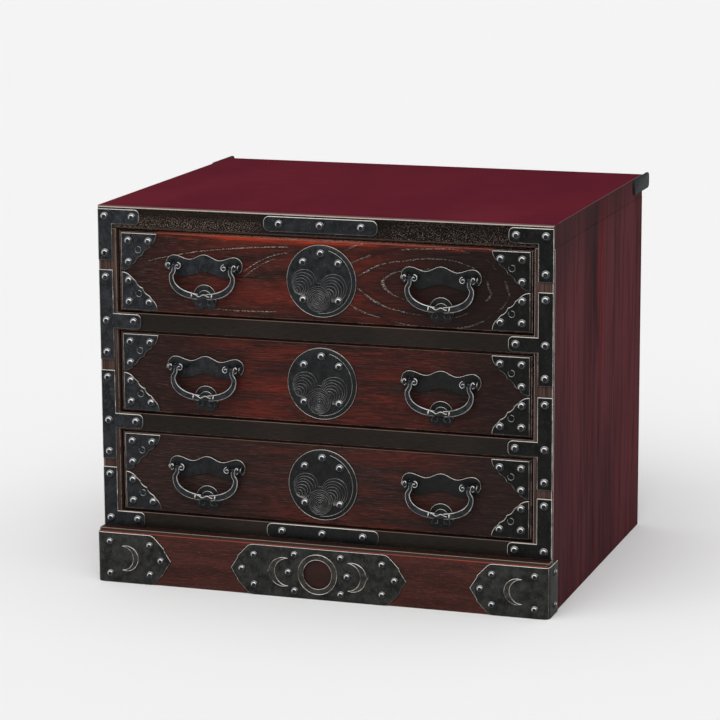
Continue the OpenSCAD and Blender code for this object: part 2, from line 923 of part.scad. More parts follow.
// The bail's bar: one mesh swept along its middle line, in x and z with its depth along y
module bail_bar() {
    us = [for (k = [0:bail_rings]) -1 + 2 * k / bail_rings];
    eps = 0.004;
    rings = [for (u = us)
        let (p = bail_line(u), q0 = bail_line(max(-1, u - eps)), q1 = bail_line(min(1, u + eps)),
             d = (q1 - q0) / norm(q1 - q0), n = [-d[1], d[0]], r = bail_radius(u))
        [for (k = [0:bail_sides - 1])
            let (a = 360 * (k + 0.5) / bail_sides, o = r * cos(a))
            [p[0] + n[0] * o, flat * r * sin(a), p[1] + n[1] * o]]];
    points = [for (ring = rings) each ring];
    walls = [for (j = [0:bail_rings - 1], k = [0:bail_sides - 1])
        let (a = j * bail_sides + k, b = j * bail_sides + (k + 1) % bail_sides)
        each [[a, b, b + bail_sides], [a, b + bail_sides, a + bail_sides]]];
    first = [for (k = [bail_sides - 1:-1:0]) k];
    last = [for (k = [0:bail_sides - 1]) bail_rings * bail_sides + k];
    polyhedron(points, concat(walls, [first, last]));
}

// The turned boss at the middle of the bail: a bead between two collars, along x
module boss() {
    collar_r = boss_r * 0.86;
    collar_w = 1.5;
    waist_r = boss_r * 0.66;
    translate([0, 0, -bail_drop])
        rotate([0, 90, 0])
            rotate_extrude() {
                intersection() {
                    circle(boss_r);
                    translate([0, -boss_r])
                        square([boss_r, 2 * boss_r]);
                }
                for (s = [-1, 1])
                    translate([0, s * (boss_half - collar_w) - collar_w])
                        square([collar_r, 2 * collar_w]);
                translate([0, -boss_half + collar_w])
                    square([waist_r, 2 * (boss_half - collar_w)]);
            }
}

// One end: the pin through the eye, a rivet head outside it and the curled end inside
module bail_end() {
    head = 1;
    curl_back = 2;
    curl_soft = 1;
    pin_out = eye_x + eye_w / 2 + 0.3;
    translate([curl_x, 0, 0])
        rotate([0, 90, 0])
            cylinder(r = pin_r, h = pin_out - curl_x);
    translate([pin_out, 0, 0])
        rotate([0, 90, 0])
            cylinder(r1 = pin_r + 0.7, r2 = pin_r, h = head);
    translate([curl_x, curl_back, 0])
        rotate([90, 0, 0])
            rotate_extrude()
                polygon([[0, 0], [curl_r - curl_soft, 0], [curl_r, curl_soft],
                         [curl_r, curl_d - 2 * curl_soft], [curl_r - curl_soft * 0.7, curl_d - curl_soft * 0.7],
                         [curl_r - 2 * curl_soft, curl_d], [0, curl_d]]);
    translate([arm_top_x, 0, 0])
        sphere(arm_r + 0.25);
}

module bail(i, s) {
    color(iron_colour)
        translate([s * handle_x, face_y - pivot_out, pivot_z(i)]) {
            bail_bar();
            boss();
            both_sides()
                bail_end();
        }
}

top_board();
top_edging();
side_left();
side_right();
back_panel();
bottom_board();
shelf(0);  // upper_shelf
shelf(1);  // lower_shelf
rail(opening_z(0) - rail_h, rail_h);  // upper_rail
rail(opening_z(1) - rail_h, rail_h);  // lower_rail
rail(plinth_h, bottom_rail_h);  // bottom_rail
plinth_board();
top_corner_plates();
edge_plates(0);  // upper_edge_plates
edge_plates(1);  // lower_edge_plates
bottom_corner_plates();
centre_plate(top_plate_z);  // top_centre_plate
centre_plate(bottom_arm_z);  // bottom_centre_plate
plinth_corner_plates();
plinth_centre_plate();
rear_lugs();
frame_nails();
plinth_nails();
drawer_front(0);  // top_drawer_front
mirror([1, 0, 0]) drawer_side(0);  // top_drawer_side_left
drawer_side(0);  // top_drawer_side_right
drawer_back(0);  // top_drawer_back
drawer_floor(0);  // top_drawer_floor
corner_plates(0);  // top_drawer_corner_plates
disc(0);  // top_drawer_disc
handle_plates(0);  // top_drawer_handle_plates
eyes(0);  // top_drawer_eyes
drawer_nails(0);  // top_drawer_nails
bail(0, -1);  // top_drawer_bail_left
bail(0, 1);  // top_drawer_bail_right
drawer_front(1);  // middle_drawer_front
mirror([1, 0, 0]) drawer_side(1);  // middle_drawer_side_left
drawer_side(1);  // middle_drawer_side_right
drawer_back(1);  // middle_drawer_back
drawer_floor(1);  // middle_drawer_floor
corner_plates(1);  // middle_drawer_corner_plates
disc(1);  // middle_drawer_disc
handle_plates(1);  // middle_drawer_handle_plates
eyes(1);  // middle_drawer_eyes
drawer_nails(1);  // middle_drawer_nails
bail(1, -1);  // middle_drawer_bail_left
bail(1, 1);  // middle_drawer_bail_right
drawer_front(2);  // bottom_drawer_front
mirror([1, 0, 0]) drawer_side(2);  // bottom_drawer_side_left
drawer_side(2);  // bottom_drawer_side_right
drawer_back(2);  // bottom_drawer_back
drawer_floor(2);  // bottom_drawer_floor
corner_plates(2);  // bottom_drawer_corner_plates
disc(2);  // bottom_drawer_disc
handle_plates(2);  // bottom_drawer_handle_plates
eyes(2);  // bottom_drawer_eyes
drawer_nails(2);  // bottom_drawer_nails
bail(2, -1);  // bottom_drawer_bail_left
bail(2, 1);  // bottom_drawer_bail_right
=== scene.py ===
import json
import math
from itertools import groupby

import bpy
from mathutils import Matrix, Vector


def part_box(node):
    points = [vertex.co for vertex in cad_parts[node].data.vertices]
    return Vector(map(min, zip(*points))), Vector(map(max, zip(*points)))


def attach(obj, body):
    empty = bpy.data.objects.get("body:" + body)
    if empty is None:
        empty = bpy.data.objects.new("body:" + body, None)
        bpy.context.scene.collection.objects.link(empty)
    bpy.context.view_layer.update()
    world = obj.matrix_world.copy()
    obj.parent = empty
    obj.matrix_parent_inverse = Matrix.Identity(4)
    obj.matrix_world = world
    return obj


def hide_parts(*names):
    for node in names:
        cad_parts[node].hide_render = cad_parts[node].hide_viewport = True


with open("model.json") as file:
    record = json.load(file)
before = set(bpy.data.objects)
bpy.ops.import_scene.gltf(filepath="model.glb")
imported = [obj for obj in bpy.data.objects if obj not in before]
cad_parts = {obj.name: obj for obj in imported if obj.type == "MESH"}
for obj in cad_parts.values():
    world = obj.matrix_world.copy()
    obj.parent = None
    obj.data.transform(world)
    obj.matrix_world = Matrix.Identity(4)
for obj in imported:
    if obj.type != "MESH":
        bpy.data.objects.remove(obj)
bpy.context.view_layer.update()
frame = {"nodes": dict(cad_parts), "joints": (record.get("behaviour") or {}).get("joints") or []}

MM = 0.001
SIDES = ("left", "right")

# Sizes of the chest's parts that finishes and new pieces go by, in millimetres
FRONT_SET_BACK = 2.5  # from the frame's face to the drawer fronts
FRONT_THICKNESS = 16.0
WINDOW_UP = 22.0  # the middle of the plinth plate's window
WINDOW_RADIUS = 13.25
BAIL_DROP = 25.5  # from a bail's pins down to its boss
CURL_X = 20.8  # from a bail's middle to its curls
EYE_X = 29.4  # and to its eyes
CURL_RADIUS = 3.3
LOBE_RADIUS = 4.2  # of the strike plates' lobes

# Places taken from the frame, in metres
edging_low, edging_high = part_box("top_edging")
side_low, side_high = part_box("side_right")
plinth_low, plinth_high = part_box("plinth_board")
front_y = edging_low.y
inner_half = side_low.x
joint_of = {joint["child"]: joint for joint in frame["joints"]}


def linked(name, data):
    """A new object in the scene, with this mesh, curve, lamp or camera."""
    made = bpy.data.objects.new(name, data)
    bpy.context.scene.collection.objects.link(made)
    return made


def add_camera():
    """A long lens where the photographer stood: right of the front, above level and tilted by a hair."""
    azimuth, elevation, roll = math.radians(18.49), math.radians(11.59), math.radians(-0.32)
    place = Vector((0.7900, -2.4168, 0.6947))
    back = Vector((math.sin(azimuth) * math.cos(elevation),
                   -math.cos(azimuth) * math.cos(elevation), math.sin(elevation)))
    level = Vector((math.cos(azimuth), math.sin(azimuth), 0))
    upright = back.cross(level)
    right = level * math.cos(roll) + upright * math.sin(roll)
    up = upright * math.cos(roll) - level * math.sin(roll)
    data = bpy.data.cameras.new("camera")
    data.sensor_width = 36
    data.lens = 146.6
    data.clip_start = 0.1
    data.clip_end = 100
    camera = linked("camera", data)
    camera.matrix_world = Matrix.Translation(place) @ Matrix((right, up, back)).transposed().to_4x4()
    bpy.context.scene.camera = camera


# Finishes, all on Object coordinates counted in millimetres

def tone(red, green, blue):
    """A colour as it is read on a screen, 0 to 255, as linear light."""
    def light(level):
        level /= 255
        return level / 12.92 if level <= 0.04045 else ((level + 0.055) / 1.055) ** 2.4
    return light(red), light(green), light(blue), 1


class Finish:
    """A node material, with short names for the nodes that it is made of."""

    def __init__(self, name):
        self.material = bpy.data.materials.new(name)
        self.material.use_nodes = True
        self.tree = self.material.node_tree
        self.shader = self.tree.nodes["Principled BSDF"]
        place = self.tree.nodes.new("ShaderNodeTexCoord")
        self.place, self.facing = place.outputs["Object"], place.outputs["Normal"]

    def feed(self, socket, value):
        if isinstance(value, bpy.types.NodeSocket):
            self.tree.links.new(value, socket)
        else:
            socket.default_value = value

    def node(self, kind, inputs, **settings):
        made = self.tree.nodes.new(kind)
        for name, value in settings.items():
            setattr(made, name, value)
        for name, value in inputs.items():
            self.feed(made.inputs[name], value)
        return made

    def reckon(self, operation, first, second=0.0, third=0.0):
        return self.node("ShaderNodeMath", {0: first, 1: second, 2: third}, operation=operation).outputs[0]

    def times(self, first, second):
        return self.reckon("MULTIPLY", first, second)

    def times_plus(self, first, second, third):
        return self.reckon("MULTIPLY_ADD", first, second, third)

    def minus(self, first, second):
        return self.reckon("SUBTRACT", first, second)

    def larger(self, first, second):
        return self.reckon("MAXIMUM", first, second)

    def unsigned(self, value):
        return self.reckon("ABSOLUTE", value)

    def stretched(self, x, y, z, shift=0.0):
        """The place on the object, with one unit to so many millimetres along each axis."""
        scale = (1 / (x * MM), 1 / (y * MM), 1 / (z * MM))
        return self.node("ShaderNodeMapping", {"Vector": self.place, "Location": (shift, shift, shift),
                                               "Scale": scale}).outputs[0]

    def axes(self):
        """x, y and z on the object, in millimetres."""
        return self.node("ShaderNodeSeparateXYZ", {0: self.stretched(1, 1, 1)}).outputs

    def noise(self, vector, detail=4.0, roughness=0.5, distortion=0.0):
        inputs = {"Vector": vector, "Scale": 1.0, "Detail": detail, "Roughness": roughness,
                  "Distortion": distortion}
        return self.node("ShaderNodeTexNoise", inputs).outputs[0]

    def span(self, value, low, high, out_low=0.0, out_high=1.0):
        """A value from low to high, eased and held to the range from out_low to out_high."""
        return self.node("ShaderNodeMapRange", {0: value, 1: low, 2: high, 3: out_low, 4: out_high},
                         interpolation_type="SMOOTHSTEP").outputs[0]

    def mix(self, share, first, second):
        return self.node("ShaderNodeMix", {0: share, 6: first, 7: second}, data_type="RGBA").outputs[2]

    def bump(self, height, depth):
        """Raises the surface by up to so many millimetres."""
        inputs = {"Height": height, "Distance": depth * MM, "Strength": 1.0}
        return self.node("ShaderNodeBump", inputs).outputs[0]

    def facing_the_light(self):
        """How far the surface faces upwards and to the left, towards the lamps, for painted light on rubbed
        edges.
        """
        facing = self.node("ShaderNodeSeparateXYZ", {0: self.facing}).outputs
        return self.span(self.times_plus(facing[0], -0.45, facing[2]), -0.6, 0.7)

    def done(self, colour, roughness, normal, metallic=0.0, **fixed):
        self.feed(self.shader.inputs["Base Color"], colour)
        self.feed(self.shader.inputs["Roughness"], roughness)
        self.feed(self.shader.inputs["Normal"], normal)
        self.shader.inputs["Metallic"].default_value = metallic
        for name, value in fixed.items():
            self.shader.inputs[name.replace("_", " ")].default_value = value
        return self.material


def inside_wood(f, colour, share):
    """Where share is 1, the bare wood inside the chest takes the place of the lacquer."""
    fibre = f.noise(f.stretched(60, 22, 1.4), detail=6, roughness=0.6)
    bare = f.mix(f.span(fibre, 0.3, 0.7), tone(196, 166, 124), tone(150, 116, 78))
    return f.mix(share, colour, bare)


def lacquered_front(name, seed, ember, figured=False, ground=(54, 30, 26), dark=(28, 19, 17), glow=75,
                    heart=-25):
    """Red-brown lacquer on a drawer front, through which the grain along x shows. It glows red, as strongly
    as ember says, for glow millimetres to both sides of heart. A figured front has open grain as well."""
    f = Finish(name)
    x, y, z = f.axes()
    low, high = (edge.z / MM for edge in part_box(name + "_front"))
    fibre = f.noise(f.stretched(26, 4, 0.6, seed), detail=8, roughness=0.7)
    hair = f.noise(f.stretched(8, 4, 0.4, seed + 9), detail=4, roughness=0.6)
    flow = f.noise(f.stretched(170, 40, 18, seed + 3), detail=3, roughness=0.45, distortion=0.4)
    rings = f.reckon("SINE", f.times(flow, 95))
    late = f.span(f.reckon("ADD", rings, f.times(fibre, 1.2)), 0.6, 1.6)
    vein = f.span(f.reckon("PINGPONG", f.times_plus(flow, 34.0, fibre), 1.0), 0.02, 0.3, 1, 0)
    cloud = f.noise(f.stretched(90, 60, 12, seed + 7), detail=3, roughness=0.5)
    middle = f.span(f.unsigned(f.minus(x, heart)), glow * 0.45, glow * 1.7, 1, 0)
    warmth = f.times(f.span(f.times_plus(fibre, 0.6, cloud), 0.62, 1.0), middle)
    wood = f.mix(f.span(fibre, 0.36, 0.64), tone(*dark), tone(*ground))
    wood = f.mix(f.times(warmth, ember), wood, tone(142, 44, 28))
    wood = f.mix(f.times(late, 0.4), wood, tone(26, 17, 15))
    wood = f.mix(f.times(vein, 0.4), wood, tone(20, 13, 12))
    grey = f.span(x, -70, 60, 0.44, 0.14) if figured else 0.32
    wood = f.mix(f.times(f.span(hair, 0.56, 0.72), grey), wood, tone(122, 96, 86))
    wood = f.mix(f.times(f.span(hair, 0.44, 0.3), 0.6), wood, tone(16, 11, 10))
    shore = f.span(x, 95, 175, 1, 0.6)
    relief = f.reckon("ADD", f.times(fibre, 0.5), f.times(late, -0.5))
    if figured:
        shore = f.times(shore, f.span(x, 20, 120, 1, 0.62))
        wood, relief = cathedral(f, x, z, high, seed, wood, relief)
    shore = f.times(shore, f.span(f.unsigned(x), 177, 180, 1, 0.35))
    wood = f.mix(shore, tone(20, 13, 12), wood)
    back_y = front_y / MM + FRONT_SET_BACK + FRONT_THICKNESS
    wood = inside_wood(f, wood, f.reckon("GREATER_THAN", y, back_y - 0.1))
    return f.done(wood, f.span(fibre, 0.3, 0.7, 0.38, 0.54), f.bump(relief, 0.25), Specular_IOR_Level=0.1)


def cathedral(f, x, z, high, seed, wood, relief):
    """Open grain of the top drawer: pale specks in rings round the right handle and in arches over the left
    one, and an orange top edge."""
    sway = f.minus(f.noise(f.stretched(74, 50, 22, seed + 11), detail=3), 0.5)
    speck = f.noise(f.stretched(1.8, 1.2, 0.6, seed + 13), detail=3, roughness=0.75)
    patchy = f.noise(f.stretched(40, 20, 12, seed + 17), detail=3)
    heart_x, heart_z = 102, high - 36
    beside = f.minus(x, heart_x)
    along = f.larger(f.reckon("DIVIDE", beside, 1.8), f.reckon("DIVIDE", beside, -2.8))
    up = f.minus(z, heart_z)
    far = f.reckon("SQRT", f.times_plus(along, along, f.times(up, up)))
    far = f.times_plus(sway, 9.0, far)
    ripple = f.reckon("PINGPONG", far, 4.1)
    shown = f.times(f.span(far, 11, 15), f.span(f.unsigned(beside), 62, 86, 1, 0))
    lines = f.times(f.times(f.span(ripple, 0.1, 0.7, 0.8, 0), shown), f.span(patchy, 0.42, 0.56))
    arches = 0.0
    bands = f.times(f.span(ripple, 0.3, 2.4, 1, 0), shown)
    for crest_x, crest_z, fall, first, last in ((-30, 8, 0.00115, -158, -34), (-25, 13, 0.009, -72, -34),
                                                (-60, 64, 0.0002, -98, -44), (-24, 16, 0.0095, -72, -46)):
        short = f.reckon("MINIMUM", f.minus(x, crest_x), 0.0)
        level = f.times_plus(f.times(short, short), -fall, high - crest_z)
        off = f.unsigned(f.times_plus(sway, 5.0, f.minus(z, level)))
        held = f.times(f.span(x, first, first + 12), f.span(x, last, last + 6, 1, 0))
        arches = f.larger(arches, f.times(f.span(off, 0.1, 0.7, 1, 0), held))
        bands = f.larger(bands, f.times(f.span(off, 0.4, 3.0, 1, 0), held))
    arches = f.times(arches, f.span(patchy, 0.3, 0.42))
    lines = f.times(f.larger(lines, arches), f.span(speck, 0.47, 0.6))
    wood = f.mix(f.times(bands, 0.55), wood, tone(26, 15, 12))
    top = f.minus(f.times_plus(f.unsigned(x), 0.012, high), z)
    torn = f.noise(f.stretched(46, 30, 2, seed + 5), detail=5, roughness=0.65)
    rust = f.span(f.times_plus(torn, 16.0, top), 10, 14.5, 1, 0)
    rust = f.times(rust, f.span(f.unsigned(x), 144, 152, 0.54, 0))
    wood = f.mix(rust, wood, tone(196, 62, 28))
    edge = f.times(f.span(top, 0.5, 3.2, 1, 0), f.span(speck, 0.46, 0.6))
    lines = f.larger(lines, f.times(edge, f.span(f.unsigned(x), 150, 110, 0, 0.7)))
    wood = f.mix(f.times(lines, 0.85), wood, tone(208, 194, 180))
    return wood, f.times_plus(lines, -0.8, relief)


def smooth_lacquer(name, colour, dark, grain, rough, depth=0.02, shine=0.1):
    """Even lacquer with a little of the grain under it. grain gives the fibres' size along each axis."""
    f = Finish(name)
    fibre = f.noise(f.stretched(*grain), detail=7, roughness=0.65)
    cloud = f.noise(f.stretched(90, 90, 120), detail=2)
    shade = f.times_plus(f.span(cloud, 0.35, 0.65), 0.35, f.span(fibre, 0.3, 0.72, 0, 0.65))
    wood = f.mix(shade, colour, dark)
    orange_peel = f.noise(f.stretched(1.5, 1.5, 1.5), detail=1)
    relief = f.times_plus(orange_peel, 0.4, fibre)
    return f.done(wood, f.span(fibre, 0.3, 0.7, rough - 0.04, rough + 0.06), f.bump(relief, depth),
                  Specular_IOR_Level=shine)


def top_lacquer():
    """Wine-red lacquer on the top board, smooth and deep, with bare wood on the face inside the chest."""
    f = Finish("wine red lacquer")
    x, y, z = f.axes()
    cloud = f.noise(f.stretched(60, 160, 60), detail=2, roughness=0.4)
    fibre = f.noise(f.stretched(60, 3, 3), detail=6, roughness=0.6)
    wood = f.mix(f.span(cloud, 0.3, 0.7), tone(96, 34, 45), tone(88, 30, 41))
    wood = f.mix(f.span(fibre, 0.45, 0.8, 0, 0.4), wood, tone(74, 27, 35))
    wood = inside_wood(f, wood, f.reckon("LESS_THAN", z, edging_low.z / MM + 0.1))
    return f.done(wood, f.span(fibre, 0.3, 0.7, 0.3, 0.4), f.bump(fibre, 0.008), Specular_IOR_Level=0.0)


def plinth_lacquer():
    """Red-brown lacquer mottled by a fine open grain, with painted shade behind the plate's window, darker
    on the bevel.
    """
    f = Finish("red-brown lacquer")
    x, y, z = f.axes()
    fibre = f.noise(f.stretched(24, 5, 1.0), detail=8, roughness=0.68)
    fleck = f.noise(f.stretched(4.5, 3, 0.7, 5), detail=4, roughness=0.7)
    flow = f.noise(f.stretched(80, 30, 12, 2), detail=3, distortion=0.4)
    wood = f.mix(f.span(fibre, 0.36, 0.64), tone(52, 31, 27), tone(78, 41, 35))
    wood = f.mix(f.times(f.span(flow, 0.45, 0.65), 0.6), wood, tone(46, 26, 23))
    wood = f.mix(f.times(f.span(fleck, 0.56, 0.7), 0.45), wood, tone(150, 62, 46))
    wood = f.mix(f.times(f.span(fleck, 0.44, 0.34), 0.5), wood, tone(26, 16, 14))
    up = f.minus(z, plinth_low.z / MM + WINDOW_UP)
    across = f.reckon("SQRT", f.reckon("ADD", f.times(x, x), f.reckon("POWER", up, 2.0)))
    # Painted shade in the recess behind the plate's window
    window = f.span(across, WINDOW_RADIUS - 0.75, WINDOW_RADIUS + 0.75, 1, 0)
    bevel = f.span(z, plinth_high.z / MM - 2.6, plinth_high.z / MM - 2.2)
    wood = f.mix(f.times(f.larger(window, bevel), 0.75), wood, tone(40, 29, 26))
    return f.done(wood, f.span(fibre, 0.3, 0.7, 0.4, 0.54), f.bump(f.reckon("ADD", fibre, fleck), 0.14),
                  Specular_IOR_Level=0.1)


def side_lacquer():
    """Dark red lacquer over upright grain, with a dark and a red vein, smoky towards the top. It is brown
    on the front edge, with bare wood inside the chest."""
    f = Finish("side lacquer")
    x, y, z = f.axes()
    fibre = f.noise(f.stretched(1.1, 1.1, 50), detail=8, roughness=0.65)
    streak = f.noise(f.stretched(26, 26, 300, 4), detail=4, roughness=0.55, distortion=0.5)
    broad = f.noise(f.stretched(70, 70, 340, 8), detail=2, roughness=0.5, distortion=0.4)
    rings = f.span(f.reckon("SINE", f.times(streak, 34.0)), 0.55, 1.0)
    line = f.noise(f.stretched(8, 8, 150, 5), detail=2, roughness=0.5, distortion=0.3)
    wander = f.noise(f.stretched(60, 60, 90, 6), detail=2, roughness=0.5)
    across = f.times_plus(wander, 40.0, y)
    dark_vein = f.times(f.span(f.unsigned(across), 2, 12, 0.75, 0), f.span(z, 165, 260))
    red_vein = f.span(f.unsigned(f.minus(across, 24.0)), 4, 20, 0.36, 0)
    wood = f.mix(f.span(broad, 0.36, 0.64), tone(101, 58, 62), tone(83, 52, 55))
    wood = f.mix(f.times(f.span(streak, 0.52, 0.7), 0.3), wood, tone(118, 40, 46))
    wood = f.mix(f.times(red_vein, f.span(z, 130, 240)), wood, tone(120, 42, 46))
    wood = f.mix(f.times(rings, 0.3), wood, tone(54, 36, 38))
    wood = f.mix(f.span(line, 0.5, 0.62, 0, 0.34), wood, tone(52, 34, 36))
    wood = f.mix(dark_vein, wood, tone(52, 38, 40))
    wood = f.mix(f.span(fibre, 0.4, 0.8, 0, 0.5), wood, tone(48, 31, 33))
    behind = f.times_plus(y, -0.2, f.times_plus(broad, 110.0, z))
    smoky = f.span(behind, 312, 392, 0, 0.7)
    wood = f.mix(smoky, wood, tone(62, 46, 47))
    brown = f.mix(f.span(fibre, 0.35, 0.65), tone(48, 36, 33), tone(86, 68, 62))
    inner = f.reckon("LESS_THAN", f.unsigned(x), inner_half / MM + 0.1)
    deep = f.reckon("GREATER_THAN", y, front_y / MM + 20)
    wood = f.mix(f.larger(inner, f.reckon("LESS_THAN", y, front_y / MM + 3.5)), wood, brown)
    wood = inside_wood(f, wood, f.times(inner, deep))
    return f.done(wood, f.span(fibre, 0.3, 0.7, 0.34, 0.46), f.bump(fibre, 0.05), Specular_IOR_Level=0.0)


def worn_edge(name, bright, dark, size=6.0, worn=0.5, above=None):
    """The rubbed edge of a lacquered board: paler where hands and cloths have worn it through, and paler
    still where it faces up and to the left, as painted light. size is that of the worn patches in
    millimetres, and worn how much of the edge they take. above says over what height the wear is at its
    strongest; lower down it is faint."""
    f = Finish(name)
    rubbed = f.noise(f.stretched(size, size, size), detail=5, roughness=0.7)
    fine = f.noise(f.stretched(1.1, 1.1, 1.1), detail=3, roughness=0.6)
    # Painted light: edges facing up and to the left come out paler, besides the wear
    wear_and_light = f.times_plus(fine, 0.5, f.times_plus(f.facing_the_light(), 0.25, rubbed))
    if above is not None:
        wear_and_light = f.reckon("ADD", wear_and_light, f.span(f.axes()[2], above - 1, above + 1, -0.6, 0))
    wood = f.mix(f.span(wear_and_light, 1.2 - worn, 1.45 - worn), dark, bright)
    return f.done(wood, 0.42, f.bump(fine, 0.08), Specular_IOR_Level=0.15)


def pitted_lacquer():
    """Near-black lacquer on the top edging, struck all over so that tan wood shows in the pits."""
    f = Finish("pitted lacquer")
    x, y, z = f.axes()
    pit = f.noise(f.stretched(1.05, 1.0, 0.7), detail=2, roughness=0.7)
    patch = f.noise(f.stretched(60, 30, 10), detail=2)
    pits = f.span(pit, 0.56, 0.61)
    low_half = f.span(z, edging_high.z / MM - 6, edging_low.z / MM + 7, 0.12, 1)
    spread = f.larger(low_half, f.span(x, 30, 80, 0, 0.6))
    ends = f.span(f.unsigned(x), 45, 70, 0.3, 1)
    shown = f.times(f.times(pits, spread), f.times(ends, f.span(patch, 0.25, 0.55, 0.3, 1)))
    fibre = f.noise(f.stretched(30, 6, 1), detail=7, roughness=0.62)
    wood = f.mix(f.span(fibre, 0.3, 0.7), tone(20, 16, 14), tone(37, 30, 26))
    wood = f.mix(f.span(x, -80, 130, 0, 0.85), wood, tone(12, 9, 8))
    wood = f.mix(f.times(shown, f.span(x, -80, 120, 0.66, 0.42)), wood, tone(184, 160, 144))
    relief = f.times_plus(pits, -0.8, f.times(fibre, 0.4))
    return f.done(wood, 0.46, f.bump(relief, 0.3), Specular_IOR_Level=0.05)


def bare_wood(name, grain, pale, brown):
    """Plain planed softwood, with darker growth lines."""
    f = Finish(name)
    fibre = f.noise(f.stretched(*[g * 0.5 for g in grain]), detail=8, roughness=0.6)
    flow = f.noise(f.stretched(*[g * 7 for g in grain], 2), detail=2, distortion=0.2)
    rings = f.reckon("SINE", f.times(flow, 60))
    shade = f.times_plus(f.span(rings, 0.2, 1), 0.55, f.span(fibre, 0.3, 0.75, 0, 0.45))
    return f.done(f.mix(shade, pale, brown), 0.62, f.bump(fibre, 0.08))


def black_iron(name, dark, pale, rough, painted_shade=0.0, scuffed=0.0, metallic=0.45):
    """Iron blacked with oil and lacquer: mottled and faintly pitted, with a soft sheen. Its fifth argument
    paints shade: how much browner and blacker it is low on the chest and at its right. scuffed says how
    much it is rubbed."""
    f = Finish(name)
    mottle = f.noise(f.stretched(7, 7, 7), detail=5, roughness=0.6)
    fine = f.noise(f.stretched(0.7, 0.7, 0.7), detail=4, roughness=0.6)
    dent = f.noise(f.stretched(3.5, 3.5, 3.5, 6), detail=2)
    scuff = f.noise(f.stretched(1.1, 1.1, 3.0, 3), detail=5, roughness=0.8)
    shade = f.times_plus(fine, 0.4, f.times(mottle, 0.8))
    relief = f.times_plus(dent, 1.0, f.times(fine, 0.35))
    colour = f.mix(f.span(shade, 0.42, 0.8), dark, pale)
    colour = f.mix(f.times(f.span(scuff, 0.56, 0.68), scuffed), colour, tone(112, 114, 116))
    x, y, z = f.axes()
    # Painted shade: browner and blacker low on the chest and towards its right
    corner = f.times_plus(z, -0.9, x)
    colour = f.mix(f.span(corner, -430, -60, 0, painted_shade), colour, tone(16, 15, 12))
    return f.done(colour, f.span(mottle, 0.3, 0.7, rough - 0.08, rough + 0.1), f.bump(relief, 0.16),
                  metallic=metallic, Specular_IOR_Level=0.3 if metallic else 0.08)


def bright_iron(name, bright, dull, worn=0.5, turned=0.5, metallic=0.4):
    """Edges where the black has rubbed off the iron, with painted light making those that face up and to
    the left brighter still. worn says how much is rubbed off, and turned how much painted light an edge
    gets for facing up."""
    f = Finish(name)
    rubbed = f.noise(f.stretched(9, 9, 9), detail=5, roughness=0.7)
    fine = f.noise(f.stretched(1, 1, 1), detail=3)
    # Painted light: edges facing up and to the left come out brighter, besides the rubbing
    wear_and_light = f.times_plus(fine, 0.3, f.times_plus(f.facing_the_light(), turned, rubbed))
    metal = f.mix(f.span(wear_and_light, 1.2 - worn, 1.6 - worn), dull, bright)
    return f.done(metal, 0.4, f.bump(fine, 0.05), metallic=metallic)


